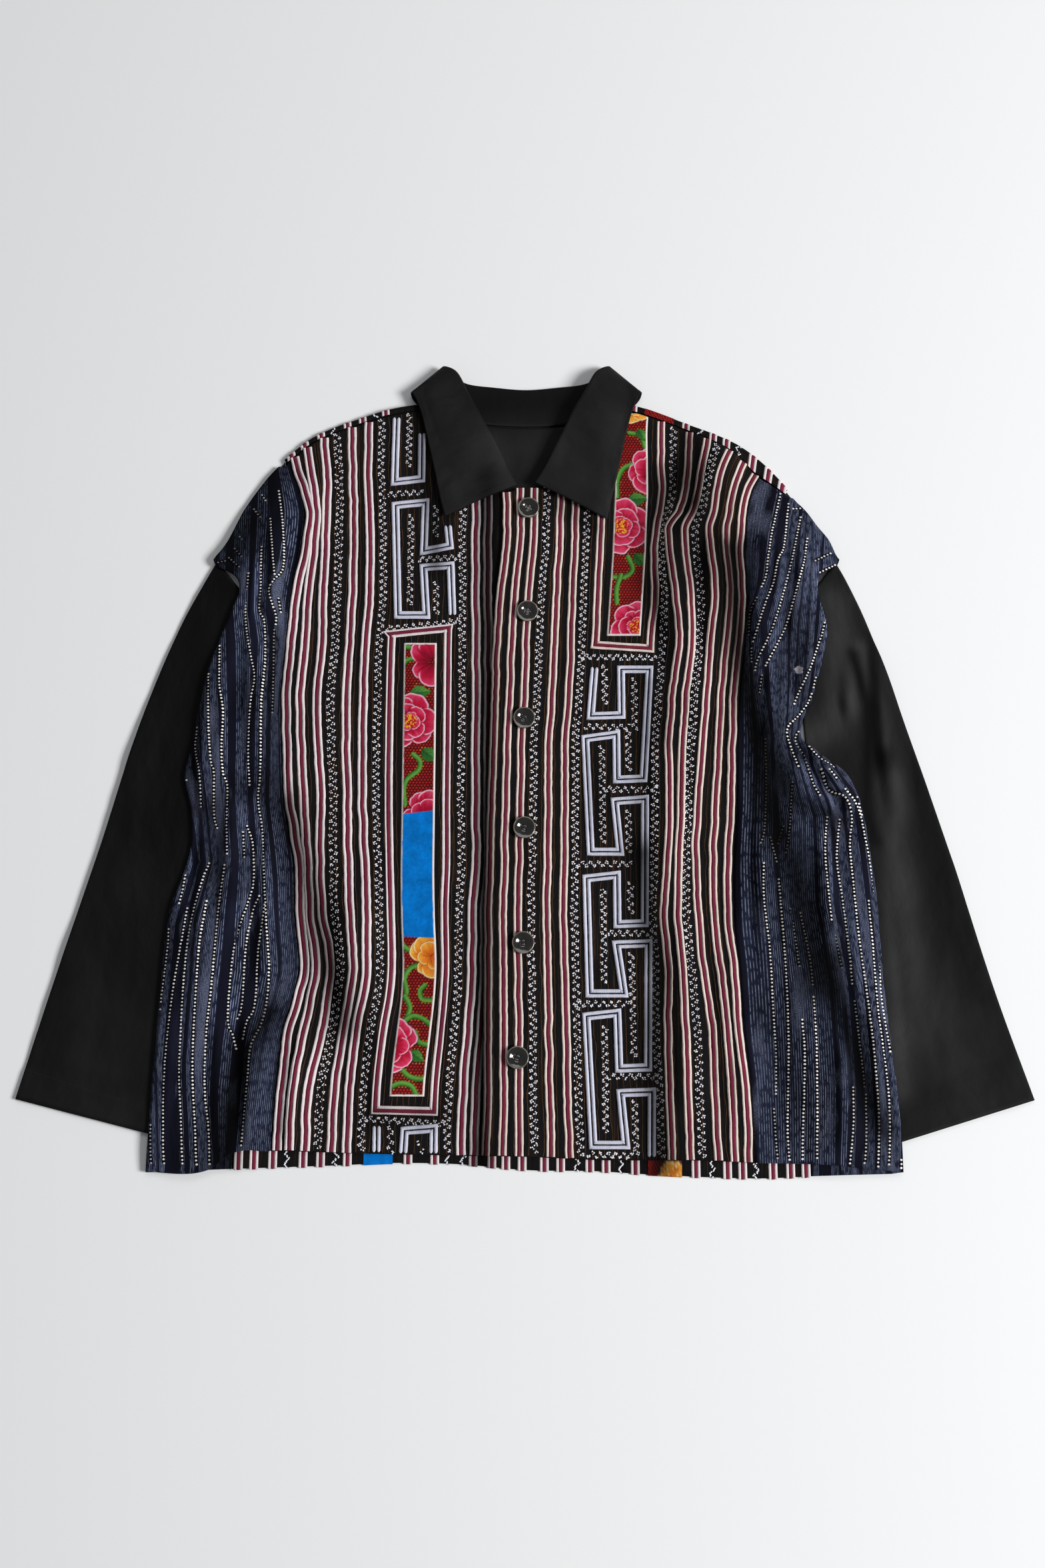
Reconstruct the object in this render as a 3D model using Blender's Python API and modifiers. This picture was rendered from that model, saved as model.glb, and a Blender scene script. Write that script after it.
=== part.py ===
"""Hmong embroidered jacket, laid flat on its back with its sleeves spread.

Metres, +Z up and +Y toward the collar. The wearer's left is +X, and the left
front laps over the right one. The tables below are in millimetres, and MM
turns them into metres where a mesh is made.

The cloth lies in layers. A piece of the body is a height over the plan: the
back lies on the sleeves and on the fall of the collar, and the fronts lie on
the back with their folds. The collar is a band lofted through three lines.
"""

import math

import bmesh
import bpy
import numpy as np
from mathutils import Matrix

MM = 0.001

# Thickness of each cloth, and the room left between two layers.
STRIPED = 1.6
INDIGO = 1.2
TWILL = 1.2
COLLAR = 1.2
FACING = 1.0
APPLIQUE = 1.0
LAYER_GAP = 1.2
STRIP_GAP = 0.9
LEAST_SPACING = 0.9
SEAM_GAP = 0.4

# Raised bands: width and height of the rib that each one makes.
BAND_WIDTH = 9.0
BAND_HEIGHT = 0.8

# Rows of points down the pieces of the body, as shares of their length. They
# are closer where an edge turns: at the shoulder tip and under the arm.
ROWS = {
    "right": (
        0, 0.012, 0.03, 0.05, 0.08, 0.12, 0.165, 0.215, 0.27, 0.325, 0.38,
        0.43, 0.48, 0.53, 0.58, 0.63, 0.68, 0.73, 0.79, 0.86, 0.93, 1,
    ),
    "left": (
        0, 0.012, 0.03, 0.05, 0.08, 0.12, 0.165, 0.21, 0.26, 0.31, 0.35,
        0.39, 0.42, 0.45, 0.48, 0.52, 0.57, 0.63, 0.70, 0.78, 0.86, 0.93, 1,
    ),
}
SHOULDER_TIP_Y = 181.0

# Sleeves: half the height of the flattened tube, and the room that the body
# needs over it and over the collar's fall, with the width of the ramp up.
SLEEVE_HALF = 1.7
SLEEVE_LIFT = 4.4
SLEEVE_RAMP = 64.0
FALL_LIFT = 2.4
FACING_LIFT = 1.3

# The left front laps over the right one by this much.
LAP = 38.0
LAP_LIFT = 2.5
LAP_RAMP = 20.0

BUTTON_RADIUS = 10.0
BUTTON_CENTRES = ((2, 230), (1, 130), (-2, 29), (-2, -72), (-3, -175), (-8, -275))

# Right front: the X of its guide lines, from the side seam to the buttons.
RIGHT_GUIDES = (
    # y, seam, band_3, band_5, print, band_7
    (345, -232, -193, -150, -98, -50),
    (300, -226, -190, -148, -98, -48),
    (270, -219, -187, -148, -98, -47),
    (250, -212, -186, -147, -97, -47),
    (225, -206, -186, -146, -96, -47),
    (200, -208, -186, -145, -96, -47),
    (150, -216, -187, -144, -95, -47),
    (100, -220, -187, -147, -97, -46),
    (50, -223, -190, -148, -97, -46),
    (0, -221, -188, -148, -97, -46),
    (-50, -217, -184, -147, -97, -46),
    (-100, -208, -184, -144, -97, -45),
    (-150, -205, -180, -141, -96, -48),
    (-195, -200, -172, -140, -94, -48),
    (-220, -204, -174, -142, -95, -49),
    (-250, -212, -178, -148, -98, -51),
    (-300, -217, -188, -153, -103, -55),
    (-385, -221, -190, -155, -104, -57),
)

# Left front: the X of its guide lines, from the buttons to the side seam.
LEFT_GUIDES = (
    # y, edge, band_5, print, frame, band_7, band_9, seam
    (345, -20, 52, 101, 129, 157, 205, 247),
    (300, -21, 50, 98, 126, 153, 195, 234),
    (270, -22, 48, 98, 126, 150, 182, 221),
    (250, -23, 47, 98, 126, 148, 177, 211),
    (230, -22, 46, 97, 124, 142, 174, 206),
    (210, -22, 45, 96, 120, 131, 169, 204),
    (190, -23, 44, 95, 118, 132, 170, 202),
    (150, -28, 42, 92, 118, 136, 173, 203),
    (110, -31, 41, 89, 114, 139, 169, 200),
    (50, -33, 38, 84, 110, 132, 163, 193),
    (0, -34, 34, 80, 106, 128, 158, 190),
    (-50, -36, 34, 80, 105, 128, 153, 188),
    (-100, -37, 33, 80, 104, 125, 150, 184),
    (-150, -38, 32, 80, 104, 121, 152, 183),
    (-200, -38, 33, 80, 104, 124, 155, 187),
    (-250, -38, 34, 78, 104, 123, 161, 189),
    (-300, -38, 35, 81, 108, 123, 162, 194),
    (-385, -41, 37, 82, 108, 125, 165, 195),
)

# Each band lies between two guide lines, at a share of the way.
RIGHT_BANDS = (
    # guide, next guide, share of the way, shift, from y, to y
    ("seam", "seam", 0.0, 5.3, 400, -400),
    ("seam", "band_3", 0.54, 0.0, 400, -400),
    ("band_3", "band_3", 0.0, 0.0, 400, -400),
    ("band_3", "band_5", 0.63, 0.0, 400, -400),
    ("band_5", "band_5", 0.0, 0.0, 400, -400),
    ("band_5", "print", 0.46, 0.0, 112, -320),
    ("print", "band_7", 0.50, 0.0, 112, -320),
    ("band_7", "band_7", 0.0, 0.0, 400, -400),
)
LEFT_BANDS = (
    # guide, next guide, share of the way, shift, from y, to y
    ("edge", "edge", 0.0, 5.2, 400, -400),
    ("edge", "band_5", 0.22, 0.0, 400, -400),
    ("edge", "band_5", 0.43, 0.0, 400, -400),
    ("edge", "band_5", 0.79, 0.0, 400, -400),
    ("band_5", "band_5", 0.0, 0.0, 400, -400),
    ("band_5", "print", 0.465, 0.0, 400, 96),
    ("frame", "frame", 0.0, 0.0, 400, 96),
    ("band_7", "band_7", 0.0, 0.0, 400, -400),
    ("band_7", "band_9", 0.40, 0.0, 400, -400),
    ("band_9", "band_9", 0.0, 0.0, 400, -400),
    ("band_9", "seam", 0.455, 0.0, 400, -400),
    ("seam", "seam", 0.0, -5.3, 400, -400),
)

# Outer edges of the body from the shoulder tip down to the hem.
RIGHT_SIDE = (
    # y, x
    (181, -289), (175, -286), (168, -272), (160, -265), (150, -264),
    (138, -268), (110, -278), (83, -287), (40, -296), (7, -301),
    (-25, -307), (-55, -300), (-82, -298), (-110, -303), (-140, -313),
    (-165, -317), (-215, -320), (-280, -323), (-372, -326),
)
LEFT_SIDE = (
    (181, 289), (175, 286), (168, 273), (158, 268), (145, 269),
    (115, 275), (90, 271), (65, 264), (40, 256), (22, 248),
    (8, 249), (-5, 264), (-18, 284), (-38, 295), (-62, 301),
    (-90, 305), (-130, 309), (-200, 312), (-250, 315), (-320, 321),
    (-372, 322),
)

# The folded edge along the shoulders, seen from above, and the neckline.
SHOULDERS = (
    # x, y
    (-289, 181), (-276, 201), (-263, 231), (-250, 252), (-239, 267),
    (-224, 283), (-202, 302), (-181, 313), (-160, 321), (-132, 330),
    (-107, 335), (-90, 337),
)
LEFT_SHOULDER = (
    (90, 337), (107, 333), (124, 327), (150, 317), (176, 307), (198, 296),
    (217, 281), (234, 263), (250, 242), (260, 231), (269, 216), (284, 194),
    (289, 181),
)
NECKLINE = (
    # x, y of the fronts, y of the back
    (-90, 337, 337), (-80, 323, 330), (-66, 304, 322), (-50, 284, 316.5),
    (-33, 266.5, 314), (-15, 251, 313), (10, 251, 313), (33, 266.5, 314),
    (50, 284, 316.5), (66, 304, 322), (80, 323, 330), (90, 337, 337),
)

# Hems, seen from above.
FRONT_HEM = (
    # x, y
    (-326, -372), (-272, -370), (-252, -356), (-220, -354), (-150, -356),
    (-55, -358), (0, -359), (80, -362), (140, -362), (194, -364),
    (260, -366), (290, -369), (322, -372),
)
BACK_HEM = (
    (-326, -372), (-250, -369), (-160, -366), (-110, -364), (-60, -365),
    (0, -370), (60, -371), (110, -374), (200, -377), (250, -375), (322, -373),
)

# The back's side seams run straight from shoulder to hem.
BACK_SEAMS = ((285, -226, 243), (-377, -253, 243))  # y, right x, left x
BACK_OVER_SHOULDER = (
    # x, how far the back comes over the shoulder onto the front
    (-232, 0), (-226, 5), (-160, 5), (-90, 6), (90, 6), (150, 6), (185, 8),
    (215, 16), (238, 9), (243, 6), (249, 0),
)

# The largest folds of the fronts, as ridges along a straight spine.
BODY_FOLDS = (
    # x0, y0, x1, y1, width toward -X, width toward +X, height
    (-152, -110, -149, -262, 26, 40, 9.0),
    (-193, -225, -203, -372, 18, 22, 4.0),
    (-122, -230, -118, -360, 18, 26, 3.0),
    (-232, 235, -236, 60, 18, 20, 4.5),
    (-206, 275, -196, 165, 16, 22, 4.0),
    (-252, 150, -246, -30, 13, 20, 6.5),
    (-283, 100, -290, -60, 14, 14, 5.0),
    (-262, -30, -266, -190, 12, 16, 6.0),
    (-236, -60, -228, -235, 14, 20, 7.0),
    (-243, -215, -240, -370, 9, 24, 5.5),
    (-292, -120, -290, -345, 18, 20, 5.0),
    (-180, 110, -184, -60, 24, 26, 2.0),
    (-70, 60, -68, -340, 26, 24, 2.0),
    (192, 296, 172, 240, 34, 30, 8.0),
    (172, 244, 133, 205, 16, 24, 5.0),
    (134, 218, 139, 60, 18, 22, 7.5),
    (172, 222, 169, 70, 14, 26, 7.0),
    (131, 70, 122, -150, 18, 20, 4.5),
    (160, 90, 148, -90, 18, 22, 5.0),
    (184, 60, 183, -60, 16, 20, 4.5),
    (135, -130, 136, -340, 14, 18, 5.0),
    (168, -140, 181, -350, 20, 24, 4.5),
    (228, 236, 214, 60, 16, 26, 6.0),
    (252, 216, 236, 70, 12, 16, 5.0),
    (238, 100, 224, -5, 12, 14, 5.0),
    (242, 16, 297, -64, 10, 12, 10.0),
    (262, -4, 300, -52, 5, 7, 5.0),
    (212, -60, 214, -230, 16, 16, 5.0),
    (296, -50, 306, -340, 28, 10, 6.0),
    (235, -190, 240, -366, 18, 18, 5.0),
    (272, -240, 278, -368, 14, 14, 4.0),
    (30, 120, 14, -330, 34, 34, 1.6),
)
SLEEVE_FOLDS = (
    (319, 128, 326, -90, 11, 26, 6.5),
    (326, -70, 336, -345, 13, 27, 5.0),
    (285, 92, 292, 22, 9, 14, 6.0),
    (256, 24, 302, -20, 10, 13, 6.0),
    (372, -60, 398, -300, 26, 26, 2.2),
    (-345, 60, -372, -180, 28, 34, 2.5),
    (-392, -150, -408, -318, 24, 28, 1.8),
)

# Sleeves: armhole and cuff ends of the outer and the inner edge.
RIGHT_SLEEVE_OUTER = (
    # share of the length, x, y
    (0.0, -286, 181), (0.06, -298, 158), (0.13, -315, 123), (0.30, -347, 36),
    (0.55, -380, -86), (0.8, -415, -210), (1.0, -442, -310),
)
RIGHT_SLEEVE_INNER = ((0.0, -245, 130), (0.5, -262, -165), (1.0, -280, -351))
LEFT_SLEEVE_OUTER = (
    (0.0, 286, 180), (0.06, 296, 160), (0.13, 311, 124), (0.30, 342, 27),
    (0.55, 377, -93), (0.8, 411, -220), (1.0, 439, -311),
)
LEFT_SLEEVE_INNER = ((0.0, 245, 130), (0.5, 262, -165), (1.0, 278, -360))

# Collar: its seam on the neck, the line it rolls on and its outer edge.
# turn is 0 where the fall lies on top and 180 where it lies underneath.
COLLAR_SECTIONS = (
    # share, neck x, y, z, roll x, y, z, edge x, y, z, turn, roll radius
    (0.000, -17, 256, 7.0, -9, 253, 9.6, -76, 223, 8.2, 0, 1.1),
    (0.060, -30, 268, 6.8, -17, 268, 10.6, -81, 243, 7.6, 0, 1.3),
    (0.125, -45, 284, 6.5, -25, 286, 11.2, -85, 264, 7.6, 0, 1.6),
    (0.190, -60, 303, 6.6, -35, 306, 12.6, -90, 287, 7.8, 0, 1.8),
    (0.250, -73, 321, 6.8, -45, 325, 13.6, -95, 310, 8.0, 0, 1.8),
    (0.305, -82, 333, 6.6, -55, 344, 13.4, -100, 329, 8.0, 10, 2.2),
    (0.345, -85, 345, 6.5, -66, 366, 11.8, -105, 342, 7.4, 35, 2.2),
    (0.375, -79, 351, 5.2, -77, 373, 7.4, -109, 348, 4.4, 90, 1.8),
    (0.400, -71, 341, 4.2, -69, 367, 3.6, -106, 341, 1.3, 150, 1.3),
    (0.430, -58, 322, 4.1, -57, 358, 2.3, -88, 324, 0.75, 180, 1.2),
    (0.465, -36, 316, 4.0, -30, 354, 1.95, -52, 311, 0.75, 180, 1.2),
    (0.500, 0, 314, 4.0, 0, 351.5, 1.95, 0, 308, 0.75, 180, 1.2),
    (0.535, 36, 316, 4.0, 30, 354, 1.95, 52, 311, 0.75, 180, 1.2),
    (0.570, 58, 322, 4.1, 57, 358, 2.3, 88, 324, 0.75, 180, 1.2),
    (0.600, 71, 341, 4.2, 69, 367, 3.6, 106, 341, 1.3, 150, 1.3),
    (0.625, 79, 351, 5.2, 77, 373, 7.4, 109, 348, 4.4, 90, 1.8),
    (0.655, 85, 345, 6.5, 66, 366, 11.8, 105, 342, 7.4, 35, 2.2),
    (0.695, 82, 333, 6.6, 55, 345, 13.6, 100, 329, 8.0, 10, 2.2),
    (0.750, 73, 321, 6.8, 44, 326, 14.4, 95, 310, 8.0, 0, 2.2),
    (0.810, 60, 303, 6.6, 35, 307, 13.6, 90, 287, 7.8, 0, 2.0),
    (0.875, 45, 284, 7.6, 25, 286, 13.2, 85, 264, 7.6, 0, 1.8),
    (0.940, 30, 268, 8.8, 17, 269, 13.0, 80, 243, 8.0, 0, 1.4),
    (1.000, 17, 257, 9.4, 8, 254, 12.6, 75, 220, 8.2, 0, 1.1),
)
BACK_FACING = ((-56, 318.0, 300), (-30, 312.5, 246), (0, 311.5, 236), (30, 312.5, 246), (56, 318.0, 300))

# Appliqued key pattern: the middle line of each doubled white strip.
KEY_WIDTH = 8.0
KEY_RIGHT_TOP = ((-122, 322), (-123, 258), (-98, 261), (-98, 306))
KEY_RIGHT_MIDDLE = (
    (-73, 215), (-71, 195), (-95, 190), (-94, 238), (-122, 235), (-118, 128),
    (-92, 128), (-95, 174), (-70, 176), (-68, 128),
)
KEY_RIGHT_HEM_1 = ((-129, -333), (-129, -355))
KEY_RIGHT_HEM_2 = ((-106, -356), (-105, -337), (-80, -335), (-80, -356))
KEY_LEFT = (
    (62, 78), (58, 32), (86, 33), (86, 76), (112, 76), (105, -26), (81, -27),
    (81, 15), (53, 11), (57, -93), (83, -93), (79, -47), (106, -45),
    (104, -157), (80, -158), (80, -114), (53, -117), (55, -219), (85, -219),
    (79, -176), (107, -175), (105, -283), (80, -284), (79, -236), (52, -239),
    (57, -349), (85, -349), (81, -305), (108, -304), (107, -359),
)
# Printed strips: from y, to y, half of the width.
PRINT_RIGHT = (101, -308, 15.0)
PRINT_LEFT = (336, 108, 15.5)


def clear_scene():
    for found in list(bpy.data.objects):
        bpy.data.objects.remove(found, do_unlink=True)


def smooth_step(value):
    value = np.clip(value, 0.0, 1.0)
    return value * value * (3.0 - 2.0 * value)


def curve(rows, column, at):
    """A smooth line through a table's rows: its column where its first column is `at`."""
    table = np.array(rows, float)
    if table[0, 0] > table[-1, 0]:
        table = table[::-1]
    keys, values = table[:, 0], table[:, column]
    at = np.clip(np.asarray(at, float), keys[0], keys[-1])
    chord = np.diff(values) / np.diff(keys)
    slope = np.concatenate([chord[:1], (chord[1:] + chord[:-1]) / 2, chord[-1:]])
    # A slope is limited where the line turns, so that it doesn't overshoot.
    slope[1:-1] = np.where(chord[1:] * chord[:-1] <= 0, 0.0, slope[1:-1])
    place = np.clip(np.searchsorted(keys, at, side="right") - 1, 0, len(keys) - 2)
    span = keys[place + 1] - keys[place]
    t = (at - keys[place]) / span
    return (
        values[place] * (1 + 2 * t) * (1 - t) ** 2
        + slope[place] * span * t * (1 - t) ** 2
        + values[place + 1] * t * t * (3 - 2 * t)
        + slope[place + 1] * span * t * t * (t - 1)
    )


RIGHT_NAMES = ("y", "seam", "band_3", "band_5", "print", "band_7")
LEFT_NAMES = ("y", "edge", "band_5", "print", "frame", "band_7", "band_9", "seam")


def guide(side, name, y):
    if side == "left":
        return curve(LEFT_GUIDES, LEFT_NAMES.index(name), y)
    if name == "edge":
        return curve(LEFT_GUIDES, LEFT_NAMES.index("edge"), y) + LAP
    return curve(RIGHT_GUIDES, RIGHT_NAMES.index(name), y)


def shoulder_line(x):
    """The Y of the folded shoulder edge, for an X on either side of the neck."""
    return np.where(x < 0, curve(SHOULDERS, 1, x), curve(LEFT_SHOULDER, 1, x))


def front_top(x, side):
    """The Y of a front's upper edge, at the neck or under the back's fold."""
    neck = curve(NECKLINE, 1, x)
    if side == "left":
        # This front's corner stays clear of the other side's collar leaf.
        neck = np.where(x < -6, 251 - 0.32 * (-6 - x), neck)
    over = curve(BACK_OVER_SHOULDER, 1, x) + 3 * SEAM_GAP
    return np.where(np.abs(x) < 90, neck, shoulder_line(x) - over)


def back_top(x):
    return np.where(np.abs(x) < 90, curve(NECKLINE, 2, x), shoulder_line(x))


def outside_of(corners, x, y):
    """How far (x, y) is outside a convex outline whose corners run clockwise."""
    far = np.full(np.broadcast(x, y).shape, -1e9)
    for (x0, y0), (x1, y1) in zip(corners, corners[1:] + corners[:1]):
        length = math.hypot(x1 - x0, y1 - y0)
        far = np.maximum(far, ((x1 - x0) * (y - y0) - (y1 - y0) * (x - x0)) / length)
    return far


def sleeve_corners(outer, inner):
    corners = [outer[0][1:], outer[-1][1:], inner[-1][1:], inner[0][1:]]
    return corners if outer[0][1] > 0 else corners[::-1]


def lift(x, y):
    """Height of the body's underside over the sleeves and the fall of the collar."""
    height = 0.0
    for outer, inner in (
        (RIGHT_SLEEVE_OUTER, RIGHT_SLEEVE_INNER),
        (LEFT_SLEEVE_OUTER, LEFT_SLEEVE_INNER),
    ):
        away = outside_of(sleeve_corners(outer, inner), x, y)
        height = height + SLEEVE_LIFT * smooth_step(1.0 - (away - 3.0) / SLEEVE_RAMP)
    fall = smooth_step((y - 236) / 60) * smooth_step((168 - np.abs(x)) / 52)
    return np.maximum(height, FALL_LIFT * fall)


def ridges(rows, x, y):
    height = np.zeros(np.broadcast(x, y).shape)
    for x0, y0, x1, y1, width_minus, width_plus, top in rows:
        run = math.hypot(x1 - x0, y1 - y0)
        ux, uy = (x1 - x0) / run, (y1 - y0) / run
        along = ((x - x0) * ux + (y - y0) * uy) / run
        across = (y - y0) * ux - (x - x0) * uy
        width = np.where(across < 0, width_minus, width_plus)
        shape = 0.5 + 0.5 * np.cos(math.pi * np.clip(across / width, -1, 1))
        ends = smooth_step(along / 0.3) * smooth_step((1 - along) / 0.3)
        height = height + top * shape * ends
    return height


def side_edge(y, side):
    return curve(LEFT_SIDE if side == "left" else RIGHT_SIDE, 1, y)


def front_under(x, y, side, thickness):
    """Underside of a front: over the back, the facing, the other front and its own folds."""
    height = lift(x, y) + STRIPED + LAYER_GAP + ridges(BODY_FOLDS, x, y)
    facing = smooth_step((92 - np.abs(x)) / 34) * smooth_step((y - 196) / 36)
    height = height + FACING_LIFT * facing
    if side == "left":
        over = (guide("right", "edge", y) + LAP_RAMP - x) / LAP_RAMP
        height = height + LAP_LIFT * smooth_step(over)
    return height


def relief(side, x, y, bands):
    """Height of the raised bands over the plain cloth."""
    height = np.zeros(np.broadcast(x, y).shape)
    for centre, high, low in bands:
        away = np.abs(x - centre(y))
        rib = np.clip(1.0 - away / (BAND_WIDTH / 2), 0, 1)
        shown = smooth_step((high - y) / 6) * smooth_step((y - low) / 6)
        height = np.maximum(height, BAND_HEIGHT * rib * shown)
    return height


def band_lines(side):
    """For each raised band of a front, its middle line and the Y it runs between."""
    rows = LEFT_BANDS if side == "left" else RIGHT_BANDS

    def line(first, second, share, shift):
        return lambda y: (
            guide(side, first, y) * (1 - share) + guide(side, second, y) * share + shift
        )

    return [
        (line(first, second, share, shift), high, low)
        for first, second, share, shift, high, low in rows
    ]


# ---- making meshes ----


def material(name, colour, roughness, metallic=0.0):
    made = bpy.data.materials.new(name)
    made.use_nodes = True
    shader = made.node_tree.nodes["Principled BSDF"]
    shader.inputs["Base Color"].default_value = (*colour, 1.0)
    shader.inputs["Roughness"].default_value = roughness
    shader.inputs["Metallic"].default_value = metallic
    made.diffuse_color = (*colour, 1.0)
    return made


def add_mesh(name, bm, finish, collection):
    bmesh.ops.recalc_face_normals(bm, faces=bm.faces)
    if bm.calc_volume(signed=True) < 0:
        bmesh.ops.reverse_faces(bm, faces=bm.faces)
    mesh = bpy.data.meshes.new(name)
    bm.to_mesh(mesh)
    bm.free()
    mesh.materials.append(finish)
    mesh.shade_smooth()
    mesh.set_sharp_from_angle(angle=math.radians(50))
    made = bpy.data.objects.new(name, mesh)
    collection.objects.link(made)
    return made


def wall(name, inner, outer, finish, collection, keep=None, closed=False, mirrored=False):
    """A closed wall between two grids of points, rows by columns, in millimetres."""
    rows, columns = inner.shape[:2]
    bm = bmesh.new()
    bmesh.ops.create_grid(
        bm, x_segments=columns - 1, y_segments=rows - 1, size=0.5
    )
    row_of = bm.verts.layers.int.new("row")
    column_of = bm.verts.layers.int.new("column")
    for vert in bm.verts:
        vert[row_of] = round((vert.co.y + 0.5) * (rows - 1))
        vert[column_of] = round((vert.co.x + 0.5) * (columns - 1))
    if keep is not None:
        spare = [
            face
            for face in bm.faces
            if not all(keep[v[row_of], v[column_of]] for v in face.verts)
        ]
        bmesh.ops.delete(bm, geom=spare, context="FACES")
    if closed:
        # The first and the last column are one line, so the grid is a tube.
        for vert in bm.verts:
            vert.co = inner[vert[row_of], vert[column_of]]
        bmesh.ops.remove_doubles(bm, verts=bm.verts, dist=1e-4)
    skin = bmesh.ops.extrude_face_region(bm, geom=bm.faces[:])["geom"]
    raised = {piece for piece in skin if isinstance(piece, bmesh.types.BMVert)}
    for vert in bm.verts:
        grid = outer if vert in raised else inner
        vert.co = [float(value) * MM for value in grid[vert[row_of], vert[column_of]]]
    if mirrored:
        # The second half's diagonals mirror the first half's.
        half = (rows - 1) / 2
        late = {face for face in bm.faces if min(v[row_of] for v in face.verts) >= half}
        early = [face for face in bm.faces if face not in late]
        bmesh.ops.triangulate(bm, faces=early, quad_method="FIXED")
        bmesh.ops.triangulate(bm, faces=list(late), quad_method="ALTERNATE")
    return add_mesh(name, bm, finish, collection)


def stack(x, y, z):
    return np.stack(np.broadcast_arrays(x, y, z), axis=-1).astype(float)


def columns_across(first, last, bands, spacing, y):
    """Column lines of a striped panel: the edges and middles of its bands, and lines in the gaps."""
    offsets = (-BAND_WIDTH / 2, 0.0, BAND_WIDTH / 2)
    lines = [first]
    for centre, _, _ in bands:
        lines += [
            (lambda at, c=centre, o=offset: c(at) + o) for offset in offsets
        ]
    lines.append(last)
    lines = [line(y) for line in lines]
    lines.sort(key=lambda line: float(np.mean(line)))
    filled = [lines[0]]
    for line in lines[1:]:
        extra = int(np.mean(line - filled[-1]) // spacing)
        start = filled[-1]
        for step in range(1, extra + 1):
            filled.append(start + (line - start) * step / (extra + 1))
        filled.append(line)
    # Where bands run together their columns stay in order, a little apart.
    for left, right in zip(filled, filled[1:-1]):
        np.maximum(right, left + LEAST_SPACING, out=right)
    for right, left in zip(filled[:0:-1], filled[-2:0:-1]):
        np.minimum(left, right - LEAST_SPACING, out=left)
    return filled


def striped_front(side, finish, collection):
    share = np.array(ROWS[side])
    inset = SEAM_GAP / 2
    if side == "left":
        first, last = (lambda y: guide("left", "edge", y)), (lambda y: guide("left", "seam", y) - inset)
    else:
        first, last = (lambda y: guide("right", "seam", y) + inset), (lambda y: guide("right", "edge", y))
    bands = band_lines(side)
    levels = np.linspace(345, -385, 293)
    across, down = [], []
    for line in columns_across(first, last, bands, 22.0, levels):
        # The column is cut off at the shoulder or neckline and at the hem.
        top = meeting(lambda y: np.interp(y, levels[::-1], line[::-1]), lambda x: front_top(x, side))
        low = float(curve(FRONT_HEM, 1, line[-10]))
        y = top + (low - top) * share
        across.append(np.interp(y, levels[::-1], line[::-1]))
        down.append(y)
    x, y = np.array(across).T, np.array(down).T
    under = front_under(x, y, side, STRIPED)
    over = under + STRIPED + relief(side, x, y, bands)
    wall(
        "front_" + side, stack(x, y, under), stack(x, y, over), finish, collection
    )


def meeting(line, edge):
    """The Y at which a line down the cloth, X of Y, meets an upper edge, Y of X."""
    levels = np.linspace(345, 150, 781)
    inside = levels <= edge(line(levels))
    return float(levels[np.argmax(inside)])


def side_grid(side, seam, outer, top_line, low_line, columns):
    """Plan of a side panel, whose rows slant at the shoulder and level out below it."""
    share = np.array(ROWS[side])[:, None]
    u = np.linspace(0, 1, columns)[None, :]
    top = meeting(seam, top_line)
    low = float(curve(low_line, 1, float(seam(np.array(-360.0)))))
    y_seam = top + (low - top) * share
    slant = (top - SHOULDER_TIP_Y) * (1 - smooth_step(share / 0.34))
    y_outer = y_seam - slant + (BACK_HEM[0][1] - low) * share
    x_seam, x_outer = seam(y_seam), outer(y_outer)
    x = x_seam + (x_outer - x_seam) * u
    y = y_seam + (y_outer - y_seam) * u
    # The first row follows the rounded shoulder, and this dies out downwards.
    bow = (top_line(x[:1]) - y[:1]) * smooth_step(u * 8) * smooth_step((1 - u) * 8)
    hem = (curve(low_line, 1, x[-1:]) - y[-1:]) * smooth_step(u * 8) * smooth_step((1 - u) * 8)
    y = y + bow * (1 - smooth_step(share / 0.3)) + hem * smooth_step((share - 0.8) / 0.2)
    return x, y, u


def side_front(side, finish, collection):
    sign = 1 if side == "left" else -1
    x, y, u = side_grid(
        side,
        lambda at: guide(side, "seam", at) + sign * SEAM_GAP / 2,
        lambda at: side_edge(at, side),
        lambda at: front_top(at, side),
        FRONT_HEM,
        10,
    )
    # The outer edge comes down onto the back's.
    under = front_under(x, y, side, INDIGO) - 1.1 * smooth_step((u - 0.7) / 0.3)
    wall(
        "side_front_" + side,
        stack(x, y, under),
        stack(x, y, under + INDIGO),
        finish,
        collection,
    )


def back_seam(side, y):
    (y0, *high), (y1, *low) = BACK_SEAMS
    x0, x1 = (high[1], low[1]) if side == "left" else (high[0], low[0])
    return x0 + (x1 - x0) * (y0 - y) / (y0 - y1)


def side_back(side, finish, collection):
    sign = 1 if side == "left" else -1
    x, y, _ = side_grid(
        side,
        lambda at: back_seam(side, at) + sign * SEAM_GAP / 2,
        lambda at: side_edge(at, side) - sign * 1.0,
        lambda at: shoulder_line(at) - 1.5,
        BACK_HEM,
        6,
    )
    under = lift(x, y)
    wall(
        "side_back_" + side,
        stack(x, y, under),
        stack(x, y, under + INDIGO),
        finish,
        collection,
    )


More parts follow.
